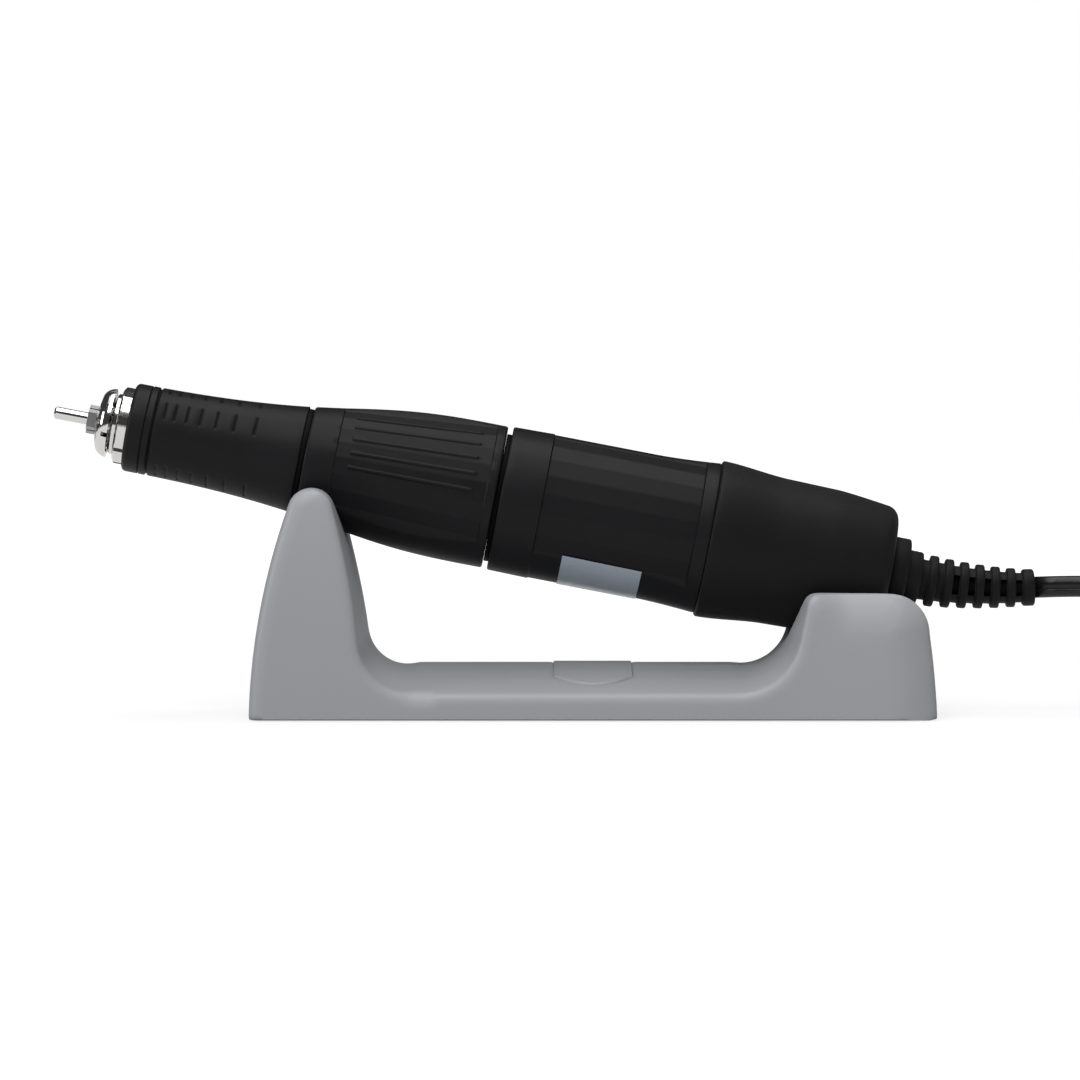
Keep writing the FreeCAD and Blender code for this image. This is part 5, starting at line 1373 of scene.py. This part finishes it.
@dataclass(frozen=True)
class ReliefForm:
    """Strain relief: a head in the boot, then ribs along a gentle bend, and an end collar.

    The ribs are one module, repeated by Geometry Nodes. Webs above and below join them, and
    behind the second rib the windows between the webs show the cord.
    """

    piece: Piece = Piece(
        "relief_skin", Finishes.boot_rubber, "black_rubber", Body.HANDPIECE,
        ("strain_relief",), 38.0,
    )
    head: tuple = (
        (159.24, 7.2), (160.84, 7.2), (160.86, 5.6), (163.14, 5.6), (163.16, 6.75),
        (163.3, 7.08), (163.55, 7.2), (166.1, 7.2), (166.4, 7.0), (166.5, 6.7), (166.56, 5.4),
        (166.7, 5.2), (168.9, 5.16), (169.25, 4.95), (169.34, 4.6), (169.4, 3.9), (170.9, 3.85),
        (174.1, 3.7),
    )
    bore: float = 2.3
    straight: float = 168.5
    bend: float = 100.0
    first: float = 171.61
    pitch: float = 3.06
    count: int = 6
    shrink: float = 0.0468
    rib_radius: float = 4.92
    rib_half: float = 0.85
    core_radius: float = 3.85
    module_bore: float = 2.9
    window_half: float = 2.0
    web_inset: float = 0.97
    web_overlap: float = 0.1
    web_steps: int = 10
    round_steps: int = 4
    edge: float = 0.4
    sides: int = 48
    collar: tuple = (
        (189.02, 2.9), (189.08, 3.25), (189.3, 3.48), (189.6, 3.55), (190.9, 3.55),
        (191.25, 3.45), (191.43, 3.15), (191.47, 2.6),
    )

    def circle(self, reach: float, height: float) -> list[Vector]:
        """Points round the middle line."""
        return [turned(reach, 360 * side / self.sides, height) for side in range(self.sides)]

    def rib_outline(self) -> list[tuple[float, float]]:
        """Radius and height round one rib's section, its bore last.

        Returns:
            Pairs of radius and height.
        """
        half, top, edge = self.rib_half, self.rib_radius, self.edge
        outline = [(self.core_radius, -half)]
        for step in range(self.round_steps + 1):
            turn = math.pi / 2 * step / self.round_steps
            outline.append((top - edge * (1 - math.sin(turn)), edge * (1 - math.cos(turn)) - half))
        outline += [(reach, -height) for reach, height in reversed(outline)]
        return [*outline, (self.module_bore, half), (self.module_bore, -half)]

    def module(self) -> bpy.types.Mesh:
        """One rib with the two webs that carry the next one, in millimetres.

        Returns:
            The mesh.
        """
        shape = Shape()
        shape.rings([self.circle(*spot) for spot in self.rib_outline()], closed=True)
        reach = self.core_radius * self.web_inset
        widest = math.acos(self.window_half / reach)
        low = self.rib_half - self.web_overlap
        for side in (-reach, reach):
            shape.rings(
                [
                    [Vector((side * math.cos(turn), reach * math.sin(turn), height))
                     for turn in spread(-widest, widest, 2 * widest / self.web_steps)]
                    for height in (low, self.pitch - low)
                ],
                capped=True,
            )
        return shape.mesh(Matrix.Identity(4))

    @staticmethod
    def repeat_group() -> bpy.types.NodeTree:
        """Geometry group that repeats its geometry along the bend, ever narrower.

        Returns:
            The group.
        """
        wire = new_group(
            "ribs_along_bend", "Geometry",
            {
                "Geometry": "Geometry", "Count": "Int", "First": 0.0, "Pitch": 0.0,
                "Straight": 0.0, "Bend": 100.0, "Shrink": 0.0, "Material": "Material",
            },
            {"Geometry": "Geometry"},
        )
        given = wire.add("NodeGroupInput").outputs
        index = wire.add("GeometryNodeInputIndex").outputs[0]
        station = wire.math("MULTIPLY_ADD", index, given["Pitch"], given["First"])
        along = wire.math("SUBTRACT", station, given["Straight"])
        lean = wire.math("DIVIDE", along, given["Bend"])
        ahead = wire.math(
            "MULTIPLY_ADD", wire.math("SINE", lean), given["Bend"], given["Straight"]
        )
        aside = wire.math("SUBTRACT", 1.0, wire.math("COSINE", lean))
        aside = wire.math("MULTIPLY", aside, given["Bend"])
        narrow = wire.math("SUBTRACT", 1.0, wire.math("MULTIPLY", index, given["Shrink"]))
        spots = wire.add(
            "GeometryNodeSetPosition",
            {"Geometry": wire.add("GeometryNodeMeshLine", {"Count": given["Count"]}),
             "Position": wire.add("ShaderNodeCombineXYZ", {"X": aside, "Z": ahead})},
        )
        placed = wire.add(
            "GeometryNodeInstanceOnPoints",
            {"Points": spots, "Instance": given["Geometry"],
             "Rotation": wire.add("ShaderNodeCombineXYZ", {"Y": lean}),
             "Scale": wire.add("ShaderNodeCombineXYZ", {"X": narrow, "Y": narrow, "Z": 1.0})},
        )
        done = wire.add(
            "GeometryNodeSetMaterial",
            {"Geometry": wire.add("GeometryNodeRealizeInstances", {"Geometry": placed}),
             "Material": given["Material"]},
        )
        wire.add("NodeGroupOutput", {"Geometry": done})
        return wire.tree

    def ribs(self) -> bpy.types.Mesh:
        """The repeated ribs, in the spindle frame.

        Returns:
            The mesh.
        """
        values = {
            "Count": self.count, "First": self.first, "Pitch": self.pitch,
            "Straight": self.straight, "Bend": self.bend, "Shrink": self.shrink,
            "Material": self.piece.finish.material(),
        }
        return evaluated(self.module(), "NODES", values, node_group=self.repeat_group())

    def at(self, station: float) -> Matrix:
        """Place and lean of the relief's middle line at a station.

        Args:
            station: millimetres from the pin's tip along the spindle.

        Returns:
            The transform from an upright ring to its place.
        """
        lean = max(station - self.straight, 0.0) / self.bend
        ahead = min(station, self.straight) + self.bend * math.sin(lean)
        shift = Matrix.Translation((self.bend * (1 - math.cos(lean)), 0.0, ahead))
        return shift @ Matrix.Rotation(lean, 4, "Y")

    def build(self) -> None:
        """Make the relief as one piece: the ribs, then head and collar with the cord's bore."""
        shape = Shape()
        shape.add(self.ribs())
        for outline in (self.head, self.collar):
            (start, _), (end, _) = outline[0], outline[-1]
            rows = [*outline, (end, self.bore), (start, self.bore)]
            rings = [
                [self.at(station) @ point for point in self.circle(reach, 0.0)]
                for station, reach in rows
            ]
            shape.rings(rings, closed=True)
        self.piece.make(shape.mesh(SPINDLE.matrix()))


# Cradle


@dataclass(frozen=True)
class CradleForm:
    """Moulded shell of the cradle with its edges as the moulding has them, and its finger pad.

    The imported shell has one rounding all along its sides. The real edges are tight round the
    floor and inside the fork and the rest, and broad over the top and the back of the rest.
    """

    shell_piece: Piece = Piece(
        "cradle_skin", Finishes.cradle_grey, "grey_plastic", Body.CRADLE, ("cradle_shell",), 60.0
    )
    pad_piece: Piece = Piece(
        "cradle_pad", Finishes.cradle_grey, "grey_plastic", Body.CRADLE, sharp=40.0
    )
    gap: float = 0.001
    voxel: float = 0.6
    passes: int = 2
    half_depth: float = 24.0
    height: float = 44.0
    beyond: float = 120.0
    # roundings of the sides' edges
    rounding: float = 2.4
    tight: float = 1.25
    least_across: float = 0.03
    least_side: float = -0.05
    least_height: float = 2.5
    fork_x: float = -30.0
    fork_back: float = 0.35
    fork_ease: float = 0.5
    rest_x: float = 41.0
    rest_ease: float = 5.0
    # broad edge over the rest
    broad_depth: float = 5.0
    broad_height: float = 9.0
    broad_ease: float = 7.0
    outline_y: float = -19.0
    outline_x: tuple[float, float] = (40.0, 65.0)
    outline_z: tuple[float, float] = (0.5, 34.0)
    outline_foot: tuple[float, float] = (-9.0, 0.1)
    outline_low: float = 20.0
    outline_step: float = 0.4
    outline_near: float = 0.8
    # lean of the side faces
    fork_lean: float = 1.7
    rest_lean: float = 2.2
    lean_x: tuple[float, float] = (30.0, 44.0)
    lean_depth: tuple[float, float] = (17.5, 21.5)
    # foot
    foot: float = 1.2
    foot_edge: float = 0.3
    foot_gap: float = 0.02
    # finger pad
    pad_half_width: float = 7.5
    pad_half_length: float = 18.88
    pad_bow: float = 4.5
    pad_depth: float = 0.5
    pad_rise: float = 0.22
    pad_gap: float = 0.03
    pad_edge: float = 0.26
    pad_across: tuple = (0.0, 0.3, 0.55, 0.75, 0.88, 0.955, 0.985, 1.0)
    pad_along: tuple = (0.975, 0.988, 0.995, 1.0)
    pad_even: float = 0.95
    pad_step: float = 0.06

    def surface(self) -> BVHTree:
        """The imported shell's surface, for rays."""
        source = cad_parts["cradle_shell"].data
        return BVHTree.FromPolygons(
            [vert.co for vert in source.vertices], [face.vertices for face in source.polygons]
        )

    @staticmethod
    def hit(surface: BVHTree, start: tuple, way: tuple) -> Vector | None:
        """The first point that a ray meets, in millimetres."""
        spot = surface.ray_cast(Vector(start) * MM, Vector(way))[0]
        return spot / MM if spot else None

    def rest_outline(self) -> KDTree:
        """Points along the top and the back of the rest, flat in X and Z.

        Returns:
            The points, in millimetres.
        """
        surface, step, y = self.surface(), self.outline_step, self.outline_y
        tops = [
            self.hit(surface, (x, y, self.beyond), (0.0, 0.0, -1.0))
            for x in spread(*self.outline_x, step)
        ]
        backs = [
            self.hit(surface, (self.beyond, y, z), (-1.0, 0.0, 0.0))
            for z in spread(*self.outline_z, step)
        ]
        marks = [mark for mark in tops if mark and mark.z > self.outline_low]
        marks += [mark for mark in backs if mark]
        foot = max(mark.x for mark in marks)
        marks += [Vector((foot, 0.0, z)) for z in spread(*self.outline_foot, step)]
        tree = KDTree(len(marks))
        for index, mark in enumerate(marks):
            tree.insert(Vector((mark.x, 0.0, mark.z)), index)
        tree.balance()
        return tree

    def softness(self, place: Vector, outward: Vector) -> float:
        """0 where an edge is tight, 1 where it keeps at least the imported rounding."""
        if place.x < self.fork_x:
            return smooth_step((self.fork_back - outward.x) / self.fork_ease)
        return smooth_step((place.x - self.rest_x) / self.rest_ease)

    def tightened(self, place: Vector, normal: Vector) -> Vector:
        """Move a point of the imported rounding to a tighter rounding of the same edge.

        Args:
            place: the point, in millimetres.
            normal: the surface's normal there.

        Returns:
            The point on the tighter edge.
        """
        side = math.copysign(1.0, place.y)
        full = self.rounding
        inset = self.half_depth - abs(place.y)
        across = math.hypot(normal.x, normal.z)
        rounded = 0.0 < inset < full and normal.y * side >= self.least_side
        if not rounded or across < self.least_across or place.z < self.least_height:
            return place
        outward = Vector((normal.x / across, 0.0, normal.z / across))
        radius = between(self.tight, full, self.softness(place, outward))
        angle = math.acos(max(-1.0, min(1.0, (full - inset) / full)))
        flat, arc = full - radius, radius * math.pi / 2
        along = angle / (math.pi / 2) * (2 * flat + arc)
        turn = min(max((along - flat) / radius, 0.0), math.pi / 2)
        new_inset = radius * (1 - math.cos(turn)) + max(along - flat - arc, 0.0)
        new_drop = radius * (1 - math.sin(turn)) + max(flat - along, 0.0)
        moved = place + outward * (full * (1 - math.sin(angle)) - new_drop)
        moved.y = side * (self.half_depth - new_inset)
        return moved

    def broadened(self, place: Vector, normal: Vector, outline: KDTree) -> Vector:
        """Pull a point in to the broad edge over the rest.

        Args:
            place: the point, in millimetres.
            normal: the surface's normal there.
            outline: points of the rest's outline.

        Returns:
            The point on the broad edge.
        """
        inset = self.half_depth - abs(place.y)
        if place.x < self.rest_x or inset > self.broad_depth:
            return place
        mark, _, drop = outline.find(Vector((place.x, 0.0, place.z)))
        share = smooth_step((place.x - self.rest_x) / self.broad_ease)
        depth = between(self.rounding, self.broad_depth, share)
        height = between(self.rounding, self.broad_height, share)
        across, up = (depth - inset) / depth, (height - drop) / height
        reach = math.hypot(across, up)
        if across <= 0.0 or up <= 0.0 or reach <= 1.0:
            return place
        inward = Vector((place.x - mark.x, 0.0, place.z - mark.z))
        if drop < self.outline_near:
            inward = Vector((-normal.x, 0.0, -normal.z))
        moved = place + inward.normalized() * (height * (1 - up / reach) - drop)
        moved.y = math.copysign(self.half_depth - depth * (1 - across / reach), place.y)
        return moved

    def leaned(self, place: Vector) -> Vector:
        """Lean the side faces inwards, more towards the top.

        Args:
            place: the point, in millimetres.

        Returns:
            The point on the leaning face.
        """
        first, last = self.lean_depth
        outer = smooth_step((abs(place.y) - first) / (last - first))
        rise = max(place.z, 0.0) / self.height
        first, last = self.lean_x
        inset = self.rest_lean * rise * smooth_step((place.x - first) / (last - first))
        if place.x < self.fork_x:
            inset = self.fork_lean * rise**4
        return place - Vector((0.0, math.copysign(inset * outer, place.y), 0.0))

    def footed(self, place: Vector) -> Vector:
        """Bring the lowest ring of points down to the surface that the cradle stands on.

        Args:
            place: the point, in millimetres.

        Returns:
            The point, or its place at the foot.
        """
        if place.z >= self.foot:
            return place
        share = (place.z - self.foot_edge) / (self.foot - self.foot_edge)
        return Vector((place.x, place.y, max(self.foot_gap, self.foot * share)))

    def shell(self) -> None:
        """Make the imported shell's surface an even mesh and shape its edges."""
        packed = node_copy("cradle_shell", self.gap)
        mesh = evaluated(packed, "REMESH", mode="VOXEL", voxel_size=self.voxel * MM)
        outline = self.rest_outline()
        with reshaped(mesh) as shape:
            shape.normal_update()
            for vert in shape.verts:
                place = self.tightened(vert.co / MM, vert.normal)
                vert.co = self.broadened(place, vert.normal, outline) * MM
            upper = [vert for vert in shape.verts if vert.co.z > self.foot * MM]
            for _ in range(self.passes):
                bmesh.ops.smooth_vert(
                    shape, verts=upper, factor=0.5,
                    use_axis_x=True, use_axis_y=True, use_axis_z=True,
                )
            for vert in shape.verts:
                vert.co = self.footed(self.leaned(vert.co / MM)) * MM
        self.shell_piece.make(mesh)
        log.info("cradle: %d faces", len(mesh.polygons))

    def pad(self) -> None:
        """Make the pad that fills the floor's recess, a hair proud of it."""
        surface, wide, shape = self.surface(), self.pad_half_width, Shape()
        rows = spread(-self.pad_even, self.pad_even, self.pad_step)
        rows += [side * share for share in self.pad_along for side in (-1, 1)]
        columns = {side * share * wide for share in self.pad_across for side in (-1, 1)}
        top, low = [], []
        for share in sorted(rows):
            top.append([])
            low.append([])
            for x in sorted(columns):
                reach = self.pad_half_length - self.pad_bow * (x / wide) ** 2
                y = share * reach
                height = self.hit(surface, (x, y, self.beyond), (0.0, 0.0, -1.0)).z
                fall = edge_drop(min(wide - abs(x), reach - abs(y)), self.pad_edge)
                rise = self.pad_depth + self.pad_rise - fall
                top[-1].append(Vector((x, y, height + rise)))
                low[-1].append(Vector((x, y, height + self.pad_gap)))
        shape.sheet(top, low)
        self.pad_piece.make(shape.mesh(Matrix.Scale(MM, 4)))

    def build(self) -> None:
        """Make the shell and its pad."""
        self.shell()
        self.pad()


# Label


@dataclass(frozen=True)
class LabelForm:
    """Blank label on the case: a thin film with a sunk line inside a plain border."""

    piece: Piece = Piece(
        "label_film", Finishes.label_film, "label_grey", Body.HANDPIECE, ("blank_label",), 40.0
    )
    start: float = 100.9
    length: float = 15.4
    turn: float = 125.6
    angle: float = 67.0
    skew: float = 1.1
    inner: float = 14.0
    thickness: float = 0.12
    border: float = 2.0
    sunk: float = 0.06
    line_width: float = 0.14
    line_step: float = 0.12
    length_step: float = 0.8
    least_length: float = 0.01
    turn_step: float = 3.0
    least_turn: float = 0.05

    def radius(self, station: float, turn: float) -> float:
        """Radius of the film's outer side; the line is fainter along the upper border.

        Args:
            station: millimetres from the pin's tip along the spindle.
            turn: degrees from the upper side towards the near side.

        Returns:
            The radius.
        """
        upper = math.radians(turn - self.turn) * self.inner
        edge = min(
            station - self.start, self.start + self.length - station, upper,
            math.radians(self.turn + self.angle - turn) * self.inner,
        )
        line = math.exp(-(((edge - self.border) / self.line_width) ** 2))
        depth = self.sunk if edge < upper else self.sunk / 4
        return self.inner + self.thickness - depth * line

    def build(self) -> None:
        """Make the label."""
        end, last = self.start + self.length, self.turn + self.angle
        depths = tuple(self.border + self.line_step * step for step in (-2, -1, 0, 1, 2))
        stations = spread(self.start, end, self.length_step)
        stations += both_ends(self.start, end, 1.0, depths)
        turns = spread(self.turn, last, self.turn_step)
        turns += both_ends(self.turn, last, math.degrees(1 / self.inner), depths)
        shape = Shape()
        shape.sheet(*(
            [
                [
                    turned(
                        self.radius(station, turn) if outer else self.inner,
                        turn + self.skew * (station - self.start) / self.length, station,
                    )
                    for turn in thinned(turns, self.least_turn)
                ]
                for station in thinned(stations, self.least_length)
            ]
            for outer in (True, False)
        ))
        self.piece.make(shape.mesh(SPINDLE.matrix()))


# Studio


@dataclass(frozen=True)
class SoftLamp:
    """An area lamp that points at the object."""

    name: str
    place: tuple[float, float, float]
    size: float
    power: float
    mirrored: bool = True
    target: tuple[float, float, float] = (0.0, 0.0, 0.03)

    def build(self) -> None:
        """Make the lamp."""
        data = bpy.data.lights.new(self.name, "AREA")
        data.shape = "DISK"
        data.size = self.size
        data.energy = self.power
        lamp = new_object(self.name, data)
        aim(lamp, Vector(self.place), Vector(self.target))
        lamp.visible_glossy = self.mirrored


def white(level: float) -> tuple[float, ...]:
    """A colour without hue."""
    return level, level, level, 1.0


@dataclass(frozen=True)
class Studio:
    """Pale floor, white surroundings, a dark wall that only reflections show, and soft light."""

    floor_half: float = 4.0
    floor_drop: float = 0.05
    ambient: float = 0.26
    floor_colour: float = 0.24
    floor_glow: float = 0.74
    floor_far: float = 1.0
    floor_fade: tuple[float, float] = (0.22, 0.9)
    floor_mirrored: float = 0.6
    wall_distance: float = 1.6
    wall_height: float = 1.2
    wall_glow: float = 0.05
    wall_sides: int = 48
    roof_height: float = 1.32
    roof_hole: float = 0.72
    lamps: tuple = (
        SoftLamp("key", (-0.3, -0.75, 1.15), 0.8, 7.0),
        SoftLamp("front", (0.0, -1.3, 0.55), 1.0, 9.0, mirrored=False),
        SoftLamp("left", (-1.25, -0.25, 0.45), 0.6, 5.2),
        SoftLamp("right", (1.25, -0.25, 0.45), 0.6, 1.4),
        SoftLamp("back", (0.8, 1.0, 0.8), 1.0, 6.5, mirrored=False),
        SoftLamp("top", (0.0, 0.1, 1.3), 1.0, 5.0),
    )

    def build(self) -> None:
        """Make the floor, the wall, the world and the lamps."""
        bpy.context.scene.view_settings.view_transform = "Standard"
        self.floor()
        self.dark_wall()
        self.world()
        for lamp in self.lamps:
            lamp.build()

    @staticmethod
    def staged(
        name: str, shape: Shape, height: float, material: bpy.types.Material
    ) -> bpy.types.Object:
        """Make a piece of the studio, at a height in metres.

        Args:
            name: name of the piece.
            shape: its shape.
            height: its height.
            material: its material.

        Returns:
            The piece.
        """
        mesh = shape.mesh(Matrix.Identity(4))
        mesh.materials.append(material)
        piece = new_object(name, mesh)
        piece.location.z = height
        return piece

    def floor(self) -> None:
        """A plain floor that is white to the camera and keeps the object's shadow."""
        material, wire = blank_material("floor_white")
        rays = wire.add("ShaderNodeLightPath").outputs
        seen = wire.math("MAXIMUM", rays["Is Camera Ray"], rays["Is Transmission Ray"])
        place = wire.add("ShaderNodeTexCoord").outputs["Object"]
        away = wire.add("ShaderNodeVectorMath", {0: place}, operation="LENGTH")
        near, far = self.floor_fade
        glow_there = wire.add(
            "ShaderNodeMapRange",
            {"Value": away.outputs["Value"], "From Min": near, "From Max": far,
             "To Min": self.floor_glow, "To Max": self.floor_far},
        )
        direct = wire.math("MULTIPLY", seen, glow_there)
        mirrored = wire.math("MULTIPLY", rays["Is Glossy Ray"], self.floor_mirrored)
        strength = wire.math("MAXIMUM", direct, mirrored)
        pale = wire.add("ShaderNodeBsdfDiffuse", {"Color": white(self.floor_colour)})
        glow = wire.add("ShaderNodeEmission", {"Strength": strength})
        both = wire.add("ShaderNodeAddShader", {0: pale, 1: glow})
        wire.add("ShaderNodeOutputMaterial", {"Surface": both})
        half, shape = self.floor_half, Shape()
        shape.verts = [Vector((x * half, y * half, 0.0)) for x, y in
                       ((-1, -1), (1, -1), (1, 1), (-1, 1))]
        shape.faces = [(0, 1, 2, 3)]
        self.staged("floor", shape, -self.floor_drop * MM, material)

    def dark_wall(self) -> None:
        """A dark wall round the object, with a sloping roof, that only its reflections show."""
        material, wire = blank_material("wall_dark")
        glow = wire.add("ShaderNodeEmission", {"Strength": self.wall_glow})
        wire.add("ShaderNodeOutputMaterial", {"Surface": glow})
        shape = Shape()
        shape.rings([
            [turned(reach, angle, height) for angle in around(360 / self.wall_sides)]
            for reach, height in (
                (self.wall_distance, 0.0), (self.wall_distance, self.wall_height),
                (self.roof_hole, self.roof_height),
            )
        ])
        wall = self.staged("dark_wall", shape, 0.0, material)
        for ray in ("camera", "diffuse", "transmission", "volume_scatter", "shadow"):
            setattr(wall, f"visible_{ray}", False)

    def world(self) -> None:
        """White to the camera and in reflections, softer as light."""
        world = bpy.data.worlds.new("studio")
        bpy.context.scene.world = world
        world.use_nodes = True
        world.node_tree.nodes.clear()
        wire = Wiring(world.node_tree)
        rays = wire.add("ShaderNodeLightPath").outputs
        seen = wire.math("MAXIMUM", rays["Is Camera Ray"], rays["Is Glossy Ray"])
        seen = wire.math("MAXIMUM", seen, rays["Is Transmission Ray"])
        strength = wire.math("MULTIPLY_ADD", seen, 1.0 - self.ambient, self.ambient)
        glow = wire.add("ShaderNodeBackground", {"Color": white(1.0), "Strength": strength})
        wire.add("ShaderNodeOutputWorld", {"Surface": glow})


def main() -> None:
    """Build the whole scene in order."""
    logging.basicConfig(level=logging.INFO, format="%(message)s")
    Viewpoint().build()
    Cord().build()
    forms = (
        SleeveForm(),
        # The two slit rings paint the slits' shade.
        ShoulderForm("front_slit_shade", start=48.1, end=49.03, reach=9.95, hole=7.75),
        RingForm(),
        ShoulderForm("rear_slit_shade", start=86.27, end=87.2, reach=12.4, hole=11.65),
        CaseForm(), LabelForm(), BootForm(), ReliefForm(), SpringForm(), CradleForm(),
    )
    for form in forms:
        form.build()
    Studio().build()
    dress_nodes()


if __name__ == "__main__":
    main()
